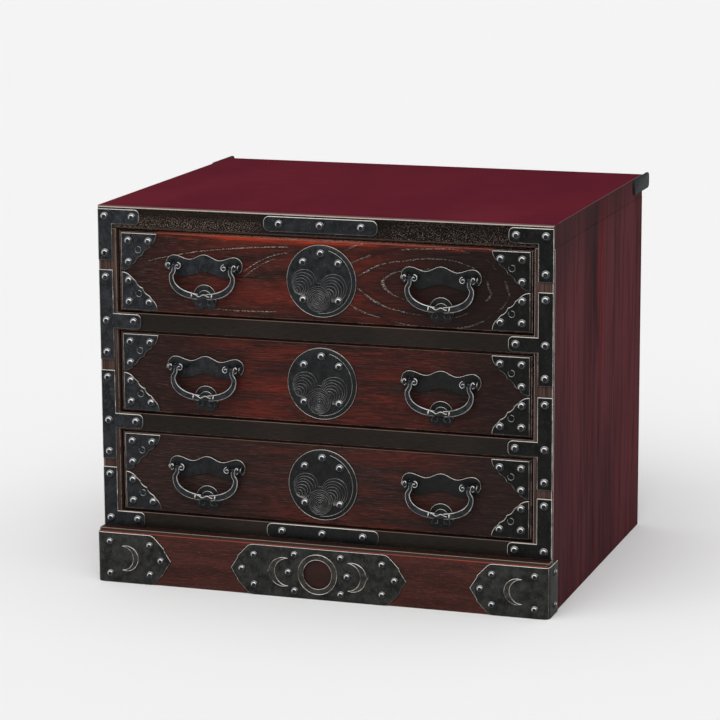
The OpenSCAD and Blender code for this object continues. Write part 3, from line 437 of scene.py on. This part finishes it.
finishes = {
    "top": top_lacquer(),
    "side": side_lacquer(),
    "back": smooth_lacquer("back lacquer", tone(84, 50, 52), tone(54, 35, 37), (1.4, 1.4, 60),
                           rough=0.4, shine=0.0),
    "rail": smooth_lacquer("near-black lacquer", tone(43, 36, 31), tone(20, 17, 15), (9, 3, 0.8),
                           rough=0.42, depth=0.06),
    "edging": pitted_lacquer(),
    "plinth": plinth_lacquer(),
    "tan edge": worn_edge("worn tan edge", tone(178, 164, 152), tone(62, 50, 44), worn=0.64,
                          above=edging_high.z / MM - 2),
    "plinth edge": worn_edge("worn plinth edge", tone(146, 128, 112), tone(64, 46, 39), 10, worn=0.55,
                             above=plinth_high.z / MM - 1),
    # The plinth chamfer's foot: worn, and bright as painted highlight
    "red edge": worn_edge("worn red edge in painted highlight", tone(136, 56, 38), tone(60, 32, 26), 14, worn=0.55),
    "brown edge": worn_edge("worn brown edge", tone(116, 92, 80), tone(50, 37, 32), 12, worn=0.5),
    "jamb edge": worn_edge("worn jamb edge", tone(116, 106, 98), tone(52, 45, 41), 12, worn=0.6),
    # The right jamb's edge, a paler copy of the left's: painted light
    "lit jamb edge": worn_edge("worn jamb edge in painted light", tone(224, 218, 210), tone(96, 86, 80), 12,
                                worn=0.66),
    # The right front corner: worn, and near white as painted highlight
    "corner edge": worn_edge("worn corner edge in painted highlight", tone(226, 214, 208), tone(112, 88, 84), 9, worn=0.7),
    "side edge": worn_edge("worn side edge", tone(92, 68, 68), tone(56, 37, 39), 20),
    "wood along x": bare_wood("bare wood along x", (60, 8, 1.6), tone(205, 176, 134), tone(162, 126, 86)),
    "wood along y": bare_wood("bare wood along y", (1.6, 60, 1.6), tone(205, 176, 134), tone(162, 126, 86)),
    "iron": black_iron("black iron", tone(13, 15, 18), tone(48, 51, 56), 0.5, 0.72, 0.45),
    # A darker copy of the black iron for the right-hand plates: painted shade
    "iron in painted shade": black_iron("black iron in painted shade", tone(12, 12, 13), tone(36, 36, 36), 0.5, 0.5, 0.3,
                              metallic=0.0),
    "plinth iron": black_iron("plinth iron", tone(23, 23, 22), tone(54, 54, 52), 0.5, scuffed=0.3,
                              metallic=0.0),
    "lug": black_iron("lug iron", tone(20, 22, 23), tone(44, 48, 50), 0.6, scuffed=0.2, metallic=0.0),
    "struck": black_iron("struck iron", tone(22, 20, 18), tone(70, 66, 60), 0.45, scuffed=0.4),
    "nail": black_iron("nail iron", tone(16, 18, 21), tone(50, 53, 58), 0.22, 0.2),
    "bail": black_iron("bail iron", tone(17, 19, 22), tone(48, 51, 56), 0.34, 0.2, 0.3),
    # Rubbed edges of the iron plates, brighter where they face up as painted light
    "bright": bright_iron("rubbed iron edge", tone(198, 195, 188), tone(76, 75, 74)),
    # The plates' right front corner: rubbed, and near white as painted highlight
    "front corner": bright_iron("rubbed front corner in painted highlight", tone(240, 238, 234), tone(130, 128, 126), 0.8,
                                turned=0.1, metallic=0.0),
    # The plinth plates' edges: rubbed, and bright on their upper slopes as painted light
    "plinth rim": bright_iron("rubbed plinth plate edge", tone(238, 236, 230), tone(70, 68, 66),
                              turned=0.8, metallic=0.1),
    "struck edge": bright_iron("rubbed struck edge", tone(232, 226, 216), tone(58, 55, 52),
                               turned=0.3, metallic=0.1),
    # Painted glints: on nail rims and the bails' curls and eyes, and dimmer on nail feet and struck rings
    "rim": bright_iron("painted glint on rims and curls", tone(214, 214, 213), tone(60, 61, 63), 0.2, turned=1.2),
    "foot": bright_iron("dim painted glint on nail feet and struck rings", tone(150, 151, 152), tone(48, 49, 51), 0.35, turned=0.8),
    "bar edge": bright_iron("rubbed bar edge", tone(214, 213, 210), tone(134, 134, 133), 0.65, turned=0.1),
    "line": bright_iron("struck line", tone(146, 145, 142), tone(70, 70, 70), 0.55, turned=0.2),
}


# Helpers for modelling

def mode(name):
    bpy.ops.object.mode_set(mode=name)


def active():
    return bpy.context.view_layer.objects.active


def only(*pieces):
    """Selects these pieces and nothing else, and makes the first one active."""
    bpy.ops.object.select_all(action="DESELECT")
    for piece in pieces:
        piece.select_set(True)
    bpy.context.view_layer.objects.active = pieces[0]


# The place of a finish among a piece's own: its flat faces, its rounded edges, what is recoated first
FLAT, ROUNDED, RECOATED = 0, 1, 2


def round_edges(piece, width, segments=2, degrees=30):
    """Bevels a piece's edges that are sharper than so many degrees. width is in millimetres."""
    only(piece)
    bevel = piece.modifiers.new("bevel", "BEVEL")
    bevel.width = width * MM
    bevel.segments = segments
    bevel.limit_method = "ANGLE"
    bevel.angle_limit = math.radians(degrees)
    bevel.material = ROUNDED
    bpy.ops.object.modifier_apply(modifier=bevel.name)


def smooth(piece, degrees=35):
    only(piece)
    bpy.ops.object.shade_smooth_by_angle(angle=math.radians(degrees))


def coat(piece, *names):
    piece.data.materials.clear()
    for name in names:
        piece.data.materials.append(finishes[name])


def dress(piece, body, replaced=None):
    """Hangs a finished piece on its body and hides the part of the frame that it takes the place of."""
    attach(piece, body)
    if replaced:
        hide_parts(replaced)


def open_up(piece):
    """Takes one piece into edit mode with all of it selected."""
    only(piece)
    mode("EDIT")
    bpy.ops.mesh.select_all(action="SELECT")


def merged_copy(node, name):
    """A copy of a part of the frame, with its loose triangles joined into clean faces."""
    piece = linked(name, frame["nodes"][node].data.copy())
    open_up(piece)
    bpy.ops.mesh.remove_doubles(threshold=2e-6)
    bpy.ops.mesh.dissolve_limited(angle_limit=math.radians(0.8))
    mode("OBJECT")
    return piece


def recoat(piece, name, chosen, among=None):
    """Gives the faces that are chosen another finish. among keeps to those that have one finish now."""
    piece.data.materials.append(finishes[name])
    for face in piece.data.polygons:
        if among in (None, face.material_index) and chosen(face):
            face.material_index = len(piece.data.materials) - 1


def softened(node, body, face, edge, width):
    """A part of the frame with its sharp edges rounded: its faces get one finish and its edges another."""
    piece = merged_copy(node, node + "_dressed")
    coat(piece, face, edge)
    round_edges(piece, width, degrees=40)
    smooth(piece)
    dress(piece, body, node)
    return piece


def join(pieces, name):
    """Makes one piece of several."""
    only(*pieces)
    bpy.ops.object.join()
    pieces[0].name = name
    return pieces[0]


def settle(piece):
    """Puts a piece's place, turn and size into its mesh."""
    only(piece)
    bpy.ops.object.transform_apply(location=True, rotation=True, scale=True)
    return piece


def outward(piece):
    """Turns a closed piece's faces outward."""
    open_up(piece)
    bpy.ops.mesh.normals_make_consistent(inside=False)
    mode("OBJECT")


def stretch(piece, middle, factor, axis):
    """Stretches a piece along one axis, to both sides of a point that stays where it is."""
    there, back = Matrix.Translation(middle), Matrix.Translation(-middle)
    piece.data.transform(there @ Matrix.Scale(factor, 4, axis) @ back)


def rod(lines, name, radius, finish, closed=False, sides=2):
    """Round wire along one or more lines of points, in metres. Its radius is in millimetres."""
    data = bpy.data.curves.new(name, "CURVE")
    data.dimensions = "3D"
    data.bevel_depth = radius * MM
    data.bevel_resolution = sides
    data.use_fill_caps = True
    for line in lines:
        spline = data.splines.new("POLY")
        spline.points.add(len(line) - 1)
        for k, point in enumerate(line):
            spline.points[k].co = (*point, 1)
        spline.use_cyclic_u = closed
    only(linked(name, data))
    bpy.ops.object.convert(target="MESH")
    piece = active()
    smooth(piece, 60)
    coat(piece, finish)
    return piece


def outlines(node, body, name, radius, finish, nearest, farthest, kept=None):
    """Thin wire along the outlines of a part's faces that look to the front, as their bright edges, rubbed
    and in painted highlight.
    nearest and farthest pick faces by their distance before the part's rearmost point, in millimetres.
    kept says of a point of the outline whether it has wire."""
    piece = merged_copy(node, name)
    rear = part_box(node)[1].y
    mode("EDIT")
    bpy.ops.mesh.select_mode(type="FACE")
    bpy.ops.mesh.select_all(action="DESELECT")
    mode("OBJECT")
    for face in piece.data.polygons:
        depth = (rear - face.center.y) / MM
        face.select = face.normal.y < -0.98 and nearest < depth < farthest
    mode("EDIT")
    bpy.ops.mesh.region_to_loop()
    bpy.ops.mesh.duplicate()
    bpy.ops.mesh.select_all(action="INVERT")
    bpy.ops.mesh.delete(type="VERT")
    if kept:
        mode("OBJECT")
        for vertex in piece.data.vertices:
            vertex.select = not kept(vertex.co)
        mode("EDIT")
        bpy.ops.mesh.select_mode(type="VERT")
        bpy.ops.mesh.delete(type="VERT")
    mode("OBJECT")
    bpy.ops.object.convert(target="CURVE")
    wire = active()
    wire.data.bevel_depth = radius * MM
    wire.data.bevel_resolution = 1
    bpy.ops.object.convert(target="MESH")
    piece = active()
    smooth(piece, 60)
    coat(piece, finish)
    dress(piece, body)


# Nail heads

# The radius and height of each ring of a head, from the foot to the crown, in millimetres
NAIL_RINGS = ((3.7, 0.0), (3.7, 0.25), (3.45, 0.6), (3.1, 0.95), (2.7, 1.4), (2.2, 1.8), (1.8, 2.0),
              (1.35, 1.9), (0.9, 1.75), (0.4, 1.85))


def nail_head(spread):
    """One nail head standing up from the origin: a dark dome with a bright ring of painted reflection round
    its sunk crown, and a dimmer one at its foot. spread widens it."""
    radius, height = NAIL_RINGS[0]
    bpy.ops.mesh.primitive_circle_add(vertices=20, radius=radius * MM, fill_type="NGON", location=(0, 0, 0))
    piece = active()
    mode("EDIT")
    bpy.ops.mesh.select_all(action="SELECT")
    for next_radius, next_height in NAIL_RINGS[1:]:
        rise = (next_height - height) * MM
        bpy.ops.mesh.extrude_region_move(TRANSFORM_OT_translate={"value": (0, 0, rise)})
        size = next_radius / radius
        bpy.ops.transform.resize(value=(size, size, 1))
        radius, height = next_radius, next_height
    mode("OBJECT")
    outward(piece)
    coat(piece, "nail", "rim", "foot")
    # Painted reflection: a bright ring round the crown and a dim one near the foot
    rim, foot = 1, 2
    for face in piece.data.polygons:
        far = math.hypot(face.center.x, face.center.y) / MM
        if 1.8 < far < 2.6:
            face.material_index = rim
        elif far > 3.2 and face.center.z > 0.3 * MM:
            face.material_index = foot
    smooth(piece, 60)
    piece.data.transform(Matrix.Diagonal((spread, spread, 1, 1)))
    return piece


def islands(node):
    """The middle, low corner and high corner of each separate solid in a part of the frame."""
    piece = merged_copy(node, "islands")
    only(piece)
    mode("EDIT")
    bpy.ops.mesh.separate(type="LOOSE")
    mode("OBJECT")
    found = []
    for part in list(bpy.context.selected_objects):
        corners = [vertex.co for vertex in part.data.vertices]
        low = Vector([min(c[k] for c in corners) for k in range(3)])
        high = Vector([max(c[k] for c in corners) for k in range(3)])
        found.append(((low + high) / 2, low, high))
        bpy.data.objects.remove(part)
    return sorted(found, key=lambda island: tuple(island[0]))


def nails(node, body, spread=1.0):
    """Nail heads where the frame has them, all in one piece."""
    heads = []
    model = nail_head(spread)
    for middle, low, high in islands(node):
        size = high - low
        head = linked("head", model.data.copy())
        if size.x < size.y:
            side = 1 if middle.x > 0 else -1
            turn = Matrix.Rotation(side * math.pi / 2, 4, "Y")
            foot = Vector((low.x if side > 0 else high.x, middle.y, middle.z))
        else:
            turn = Matrix.Rotation(math.pi / 2, 4, "X")
            foot = Vector((middle.x, high.y, middle.z))
        # Each head is turned by an angle of its own, as struck nails are
        spin = Matrix.Rotation(foot.x * 900 + foot.z * 1700, 4, "Z")
        head.data.transform(Matrix.Translation(foot) @ turn @ spin)
        heads.append(head)
    bpy.data.objects.remove(model)
    piece = join(heads, node + "_dressed")
    dress(piece, body, node)


# Relief on the plates: thin raised lines in the plane of the front

def flat_line(points, y):
    """Points in x and z, in millimetres, as a line on the plane y, in metres."""
    return [(x * MM, y, z * MM) for x, z in points]


def on_ring(x, z, radius, degrees):
    """The point of a circle in the plane of the front that lies so many degrees round from its right."""
    turn = math.radians(degrees)
    return x + radius * math.cos(turn), z + radius * math.sin(turn)


def ring(x, z, radius, first, last, steps):
    return [on_ring(x, z, radius, first + (last - first) * k / steps) for k in range(steps + 1)]


def middle_of(node):
    """The middle of a part of the frame in x and z, in millimetres."""
    low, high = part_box(node)
    return (low.x + high.x) / 2 / MM, (low.z + high.z) / 2 / MM


def pivots_of(body):
    """Where a drawer's two bails turn, in metres."""
    return [Vector(joint_of[f"{body}_bail_{side}"]["pos_m"]) for side in SIDES]


def lit_upper_edges(pivots):
    """Of the handle plates' outlines, the upper edges, drawn bright as painted highlight where the light
    from
    above falls on them: those of the back plate, which reach a little lower at its ends, and of the strike
    plate below it."""
    def kept(point):
        pivot = min(pivots, key=lambda p: abs(p.x - point.x))
        across, up = abs(point.x - pivot.x) / MM, (point.z - pivot.z) / MM
        at_end, on_strike_plate = across >= 24, up <= -12
        return up > (-30 if on_strike_plate else -5 if at_end else 4)
    return kept


def whorl_lines(body, node):
    """The disc's three whorls: leaning rings, the bottom whorl lying over the other two. Each whorl has its
    middle on the disc, its radius, how far its rings lean, and how far it rises from the disc."""
    face_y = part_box(node)[0].y
    mid_x, mid_z = middle_of(node)
    whorls = ((-14.6, -1.5, 11, 0.09, -0.10, 0.3), (11, -5, 11.6, 0.07, -0.09, 0.3),
              (-2.5, -14.8, 10.6, 0.0, -0.02, 0.6))
    bottom_x, bottom_z, bottom_radius, _, _, bottom_rise = whorls[2]
    bottom_x, bottom_z = mid_x + bottom_x, mid_z + bottom_z
    lines, count, shortest = [], 8, 4
    for x, z, radius, lean_x, lean_z, rise in whorls:
        def covered(point):
            far = math.hypot(point[0] - bottom_x, point[1] - bottom_z)
            return rise < bottom_rise and far < bottom_radius + 0.6

        for k in range(count):
            size = radius * (1 - k / count)
            centre = (mid_x + x - lean_x * k * radius, mid_z + z + lean_z * k * radius)
            points = []
            for turn, (px, pz) in enumerate(ring(*centre, size, 0, 360, 48)):
                wobble = 0.22 * math.sin(turn * math.pi / 8 + k * 1.9 + x)
                points.append((px + wobble, pz + 0.8 * wobble))
            for hidden, run in groupby(points, covered):
                line = list(run)
                if len(line) >= shortest and not hidden:
                    lines.append(flat_line(line, face_y + (bottom_rise - rise) * MM))
    brow = ring(bottom_x + 0.5, bottom_z + 0.2, 13.2, 38, 152, 24)
    lines.append(flat_line(brow, face_y + bottom_rise * MM))
    dress(rod(lines, body + "_whorl_lines", 0.28, "line", sides=1), body)


def corner_rings(body, node):
    """The small struck ring in the middle of each corner plate."""
    lines, in_from_side, in_from_end = [], 15.6, 14.2
    for middle, low, high in islands(node):
        left, lower = middle.x < 0, middle.z / MM < middle_of(node)[1]
        x = low.x / MM + in_from_side if left else high.x / MM - in_from_side
        z = low.z / MM + in_from_end if lower else high.z / MM - in_from_end
        lines.append(flat_line(ring(x, z, 2.7, 150, 460, 22), low.y))
    dress(rod(lines, body + "_corner_rings", 0.38, "foot", sides=1), body)


def disc_rims(body, node):
    """The bright outer edge of the disc, and a painted highlight along the ridge inside it, on its right
    side only.
    """
    x, z = middle_of(node)
    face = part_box(body + "_front")[0].y
    around = flat_line(ring(x, z, 30.3, 0, 352, 72), face - 0.8 * MM)
    # Painted highlight: the inner ridge's line, only on the right
    highlight_at_right = flat_line(ring(x, z, 26.9, -95, 75, 40), face - 2.1 * MM)
    outer = rod([around], body + "_disc_rim", 0.34, "bright", closed=True, sides=1)
    inner = rod([highlight_at_right], "ridge", 0.22, "bright", sides=1)
    dress(join([outer, inner], body + "_disc_rim"), body)


# Handles

def bail_path():
    """The middle line of a bail and its half widths, in millimetres: a flattened bow across the bottom, and
    the last share of each side from the shoulder up and inwards to the pin."""
    half, shoulder = 27.6, 9.0  # how wide the bow is to each side, and how far below the pins it ends
    share, neck = 0.28, 0.588  # the part of each side above it, and how much of that turns inwards
    top_x, flatness = EYE_X - 4.1, 2 / 2.25
    points, widths, steps = [], [], 72
    for k in range(steps + 1):
        u = -1 + 2 * k / steps
        s, side = abs(u), (1 if u > 0 else -1)
        if s > 1 - share:
            v = (s - 1 + share) / share
            w = math.sin(math.pi / 2 * min(1, v / neck))
            points.append((side * (half + (top_x - half) * w * w), -shoulder * (1 - v)))
        else:
            a = math.pi / 2 * s / (1 - share)
            points.append((side * half * math.sin(a) ** flatness if s else 0.0,
                           -shoulder - (BAIL_DROP - shoulder) * math.cos(a) ** flatness))
        widths.append(1.65 + 1.1 * math.cos(math.pi / 2 * min(1, abs(s - 0.3) / 0.7)) ** 2)
    return points, widths


def forged_bar():
    """The bail's bar: a flat-faced bar swept along its middle line, its four long edges rubbed bright."""
    profile = bpy.data.curves.new("profile", "CURVE")
    profile.dimensions = "2D"
    spline = profile.splines.new("POLY")
    spline.points.add(3)
    for k, (x, y) in enumerate(((-1, -0.8), (1, -0.8), (1, 0.8), (-1, 0.8))):
        spline.points[k].co = (x * MM, y * MM, 0, 1)
    spline.use_cyclic_u = True
    section = linked("profile", profile)
    data = bpy.data.curves.new("bar", "CURVE")
    data.dimensions = "3D"
    data.twist_mode = "MINIMUM"
    data.bevel_mode = "OBJECT"
    data.bevel_object = section
    data.use_fill_caps = True
    points, widths = bail_path()
    path = data.splines.new("POLY")
    path.points.add(len(points) - 1)
    for k, (x, z) in enumerate(points):
        path.points[k].co = (x * MM, 0, z * MM, 1)
        path.points[k].radius = widths[k]
    only(linked("bar", data))
    bpy.ops.object.convert(target="MESH")
    bar = active()
    bpy.data.objects.remove(section)
    outward(bar)
    coat(bar, "bail", "bar edge")
    round_edges(bar, 0.6, degrees=50)
    return bar


def placed(kind, location, turn=(0, 0, 0), **sizes):
    """A primitive at a place in millimetres, to be shaped further. Of its sizes, those with a point are
    lengths in millimetres and the whole numbers are counts."""
    sizes = {name: size * MM if isinstance(size, float) else size for name, size in sizes.items()}
    add = getattr(bpy.ops.mesh, f"primitive_{kind}_add")
    add(location=[v * MM for v in location], rotation=[math.radians(a) for a in turn], **sizes)
    return settle(active())


def bail_model():
    """A forged bail round the origin: bar, pins, coiled ends, and a knotted boss between two collars."""
    parts = [forged_bar()]
    for side in (-1, 1):
        pin = placed("cylinder", (side * 26.6, 0, 0), (0, 90, 0), vertices=20, radius=1.7, depth=11.6)
        head = placed("cylinder", (side * 32.3, 0, 0), (0, 90, 0), vertices=20, radius=2.3, depth=1.0)
        coat(pin, "bail")
        coat(head, "bail", "bright")
        round_edges(head, 0.4, segments=3)
        x, y = side * CURL_X, -0.9
        core = placed("uv_sphere", (x, y, 0), segments=24, ring_count=14, radius=CURL_RADIUS)
        coat(core, "bail")
        # The coil's turns as a spiral wire over the ball, in the bright glint finish: painted highlight as
        # well as the curl
        coil, steps = [], 48
        for k in range(steps + 1):
            a = math.radians(100 + side * 400 * k / steps)
            far = 3.0 * (1 - 0.72 * k / steps)
            out = math.sqrt(max(0.0, CURL_RADIUS ** 2 - far ** 2))
            coil.append(((x + far * math.cos(a)) * MM, (y - out) * MM, far * math.sin(a) * MM))
        parts += [pin, head, core, rod([coil], "scroll", 0.42, "rim")]
    for x in (-9.0, 9.0):
        collar = placed("torus", (x, 0, -BAIL_DROP), (0, 90, 0), major_radius=2.3, minor_radius=0.85,
                        major_segments=28, minor_segments=8)
        coat(collar, "bright")
        parts.append(collar)
    bead = placed("uv_sphere", (0, -0.2, -BAIL_DROP), segments=28, ring_count=16, radius=3.2)
    stretch(bead, Vector((0, 0, -BAIL_DROP * MM)), 2.3, (1, 0, 0))
    coat(bead, "bail")
    wave = []
    for step in range(29):
        x = step * 0.5 - 7.0
        y, z = -(1.4 + 1.7 * math.cos(x / 7.2)), -BAIL_DROP + 1.1 + 0.9 * math.sin(x * 0.75)
        wave.append((x * MM, y * MM, z * MM))
    parts += [bead, rod([wave], "ridge", 0.55, "bright")]
    for part in parts:
        smooth(part, 50)
    return join(parts, "bail")


def bail(name, model):
    piece = linked(name + "_dressed", model.data.copy())
    piece.data.transform(Matrix.Translation(Vector(joint_of[name]["pos_m"])))
    dress(piece, name, name)


def eyes(body, node):
    """The bails' eyes: shank and legs of the frame's part, with a forged ring round each pin and a painted
    glint along the front of each ring.
    """
    piece = merged_copy(node, node + "_dressed")
    pivots = pivots_of(body)
    open_up(piece)
    bpy.ops.mesh.bisect(plane_co=(0, pivots[0].y + 2.9 * MM, 0), plane_no=(0, -1, 0), clear_outer=True,
                        use_fill=True)
    mode("OBJECT")
    coat(piece, "bail")
    parts, glint_arcs = [piece], []
    ring_radius, wire, half_width = 2.65, 0.85, 2.13
    for pivot in pivots:
        x, y, z = (v / MM for v in pivot)
        for eye_x in (x - EYE_X, x + EYE_X):
            eye = placed("torus", (eye_x, y, z), (0, 90, 0), major_radius=ring_radius, minor_radius=wire,
                         major_segments=32, minor_segments=12)
            stretch(eye, Vector((eye_x * MM, 0, 0)), 2.5, (1, 0, 0))
            coat(eye, "bail")
            parts.append(eye)
            # Painted glint: a bright arc laid along the front of the ring
            line, steps = [], 30
            for k in range(steps + 1):
                a = math.radians(30 + 300 * k / steps)
                off, up = 1.5 * math.cos(a), 2.5 * math.sin(a)
                far = ring_radius + wire * math.sqrt(1 - (off / half_width) ** 2)
                line.append(((eye_x + off) * MM, (y - math.sqrt(far ** 2 - up ** 2)) * MM, (z + up) * MM))
            glint_arcs.append(line)
    rims = rod(glint_arcs, "rims", 0.4, "rim")
    for part in parts:
        smooth(part, 50)
    dress(join(parts + [rims], node + "_dressed"), body, node)


def strike_lobes(body):
    """The raised lobes of the two strike plates below the bosses, each with a struck curl."""
    lobes, lines, steps = [], [], 30
    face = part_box(body + "_front")[0].y / MM
    for pivot in pivots_of(body):
        pivot /= MM
        for across in (-1, 1):
            x, y, z = pivot.x + across * 4.6, face - 1.1, pivot.z - 31.9
            lobe = placed("uv_sphere", (x, y, z), segments=20, ring_count=12, radius=LOBE_RADIUS)
            stretch(lobe, Vector((x, y, z)) * MM, 0.3, (0, 1, 0))
            coat(lobe, "iron")
            smooth(lobe, 60)
            lobes.append(lobe)
            start = 215 if across < 0 else -35
            line = []
            for k in range(steps + 1):
                far = 3.6 - 2.6 * k / steps
                rise = 1.25 * math.sqrt(max(0.0, 1 - (far / LOBE_RADIUS) ** 2))
                px, pz = on_ring(x, z, far, start + across * 330 * k / steps)
                line.append((px * MM, (face - 1.15 - rise) * MM, pz * MM))
            lines.append(line)
    curls = rod(lines, "curls", 0.28, "line", sides=1)
    dress(join(lobes + [curls], body + "_strike_lobes"), body)


# The chest

def at_right_edge(face):
    """Whether a face lies at the right-hand edge of the front."""
    return face.center.x > side_high.x - 0.6 * MM


def cabinet_wood():
    jamb_y, joint_y, chamfer_foot = front_y + 4 * MM, edging_high.y, plinth_high.z - 2.5 * MM
    board = softened("top_board", "cabinet", "top", "side edge", 0.6)
    recoat(board, "side", lambda face: abs(face.normal.x) > 0.9 or face.normal.z < 0.3)
    recoat(board, "back", lambda face: face.normal.y > 0.9)
    recoat(board, "top", lambda face: face.normal.z > 0.3 and face.center.y < joint_y + 1 * MM)
    edging = softened("top_edging", "cabinet", "edging", "tan edge", 0.5)
    recoat(edging, "top", lambda face: face.normal.z > 0.98)
    recoat(edging, "side edge",
           lambda face: 0.66 < face.normal.z < 0.98 and face.center.y < joint_y - 1 * MM)
    recoat(edging, "top", lambda face: face.normal.z > 0.3 and face.center.y > joint_y - 1 * MM)
    recoat(edging, "side", lambda face: abs(face.normal.x) > 0.3)
    # The right jamb edge is paler than the left: painted light
    for node, jamb in (("side_left", "jamb edge"), ("side_right", "lit jamb edge")):
        side = softened(node, "cabinet", "side", "side edge", 0.5)
        recoat(side, jamb, lambda face: face.center.y < jamb_y, among=ROUNDED)
        recoat(side, "side", lambda face: face.center.z > side_high.z - 1 * MM, among=ROUNDED)
        # Painted highlight on the right front corner, over the wear
        recoat(side, "corner edge", at_right_edge, among=RECOATED)
    for node in ("upper_rail", "lower_rail", "bottom_rail"):
        softened(node, "cabinet", "rail", "brown edge", 0.4)
    plinth = softened("plinth_board", "cabinet", "plinth", "plinth edge", 0.5)
    # The chamfer's foot: a red line of painted highlight as well as wear
    recoat(plinth, "red edge", lambda face: abs(face.center.z - chamfer_foot) < 0.8 * MM, among=ROUNDED)
    coat(frame["nodes"]["back_panel"], "back")
    for node in ("bottom_board", "upper_shelf", "lower_shelf"):
        coat(frame["nodes"][node], "wood along x")


def cabinet_iron():
    for node in ("top_corner_plates", "upper_edge_plates", "lower_edge_plates", "bottom_corner_plates",
                 "top_centre_plate", "bottom_centre_plate"):
        plate = softened(node, "cabinet", "iron", "bright", 0.55)
        # Painted highlight on the plates' right front corner, over the rubbing
        recoat(plate, "front corner", at_right_edge, among=ROUNDED)
        # Painted shade: the right-hand plates' flat faces take the darker iron
        recoat(plate, "iron in painted shade", lambda face: face.center.x > 0.5 * side_high.x, among=FLAT)
    for node in ("plinth_corner_plates", "plinth_centre_plate"):
        plate = softened(node, "cabinet", "plinth iron", "plinth rim", 0.55)
        struck_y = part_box(node)[0].y + 0.2 * MM
        recoat(plate, "struck", lambda face: face.center.y < struck_y, among=FLAT)
        # Painted highlight on the bend round the right front corner
        recoat(plate, "struck edge", lambda face: (face.center.x > side_high.x and face.normal.y < -0.3
                                                   and 0.55 < face.normal.x < 0.85))
    softened("rear_lugs", "cabinet", "lug", "lug", 0.55)
    nails("frame_nails", "cabinet")
    nails("plinth_nails", "cabinet", 0.87)
    outlines("plinth_centre_plate", "cabinet", "plinth_centre_relief", 0.34, "struck edge", 1.5, 2.5)
    outlines("plinth_corner_plates", "cabinet", "plinth_corner_relief", 0.34, "struck edge", 28.4, 29.5)


def drawer(body, seed, looks, bail_shape):
    """One drawer with its two bails. looks are what its front's lacquer is told."""
    finishes[body] = lacquered_front(body, seed, **looks)
    softened(body + "_front", body, body, "brown edge", 0.4)
    for part, grain in (("side_left", "y"), ("side_right", "y"), ("back", "x"), ("floor", "x")):
        coat(frame["nodes"][f"{body}_{part}"], "wood along " + grain)
    corners = softened(body + "_corner_plates", body, "iron", "bright", 0.55)
    # Painted shade: the right-hand corner plates' flat faces take the darker iron
    recoat(corners, "iron in painted shade", lambda face: face.center.x > 0, among=FLAT)
    softened(body + "_disc", body, "iron", "iron", 0.3)
    softened(body + "_handle_plates", body, "iron", "iron", 0.3)
    # Painted highlight along the handle plates' upper edges
    outlines(body + "_handle_plates", body, body + "_handle_rims", 0.34, "bright", 1.1, 1.3,
             lit_upper_edges(pivots_of(body)))
    eyes(body, body + "_eyes")
    nails(body + "_nails", body)
    whorl_lines(body, body + "_disc")
    disc_rims(body, body + "_disc")
    corner_rings(body, body + "_corner_plates")
    strike_lobes(body)
    for side in SIDES:
        bail(f"{body}_bail_{side}", bail_shape)


# The studio

def studio():
    """A pale floor, a pale world and three wide soft lamps."""
    f = Finish("pale floor")
    unevenness = f.noise(f.stretched(400, 400, 400))
    f.done(tone(240, 240, 240), 0.9, f.bump(unevenness, 0.01), Specular_IOR_Level=0.0)
    bpy.ops.mesh.primitive_plane_add(size=60, location=(0, 20, 0))
    floor = active()
    floor.name = "floor"
    floor.data.materials.append(f.material)

    world = bpy.data.worlds.new("studio")
    world.use_nodes = True
    bpy.context.scene.world = world
    background = world.node_tree.nodes["Background"]
    background.inputs["Color"].default_value = tone(250, 250, 250)
    background.inputs["Strength"].default_value = 0.36

    for name, place, softness, power in (("key", (-1.0, -1.1, 1.3), 40, 0.36),
                                         ("front", (0.15, -1.0, 1.0), 50, 1.05),
                                         ("top", (0.05, -0.15, 1), 80, 1.22)):
        data = bpy.data.lights.new(name, "SUN")
        data.angle = math.radians(softness)
        data.energy = power
        lamp = linked(name, data)
        lamp.location = place
        lamp.rotation_euler = Vector(place).to_track_quat("Z", "Y").to_euler()
    bpy.context.scene.view_settings.view_transform = "Standard"


add_camera()
bail_shape = bail_model()
cabinet_wood()
cabinet_iron()
for body, seed, looks in (
        ("top_drawer", 20, {"figured": True, "ember": 0.37, "glow": 85}),
        ("middle_drawer", 50, {"ember": 0.36, "glow": 88, "heart": 2}),
        ("bottom_drawer", 80, {"ember": 0.2, "ground": (56, 36, 32), "dark": (34, 24, 22), "heart": 25})):
    drawer(body, seed, looks, bail_shape)
bpy.data.objects.remove(bail_shape)
studio()
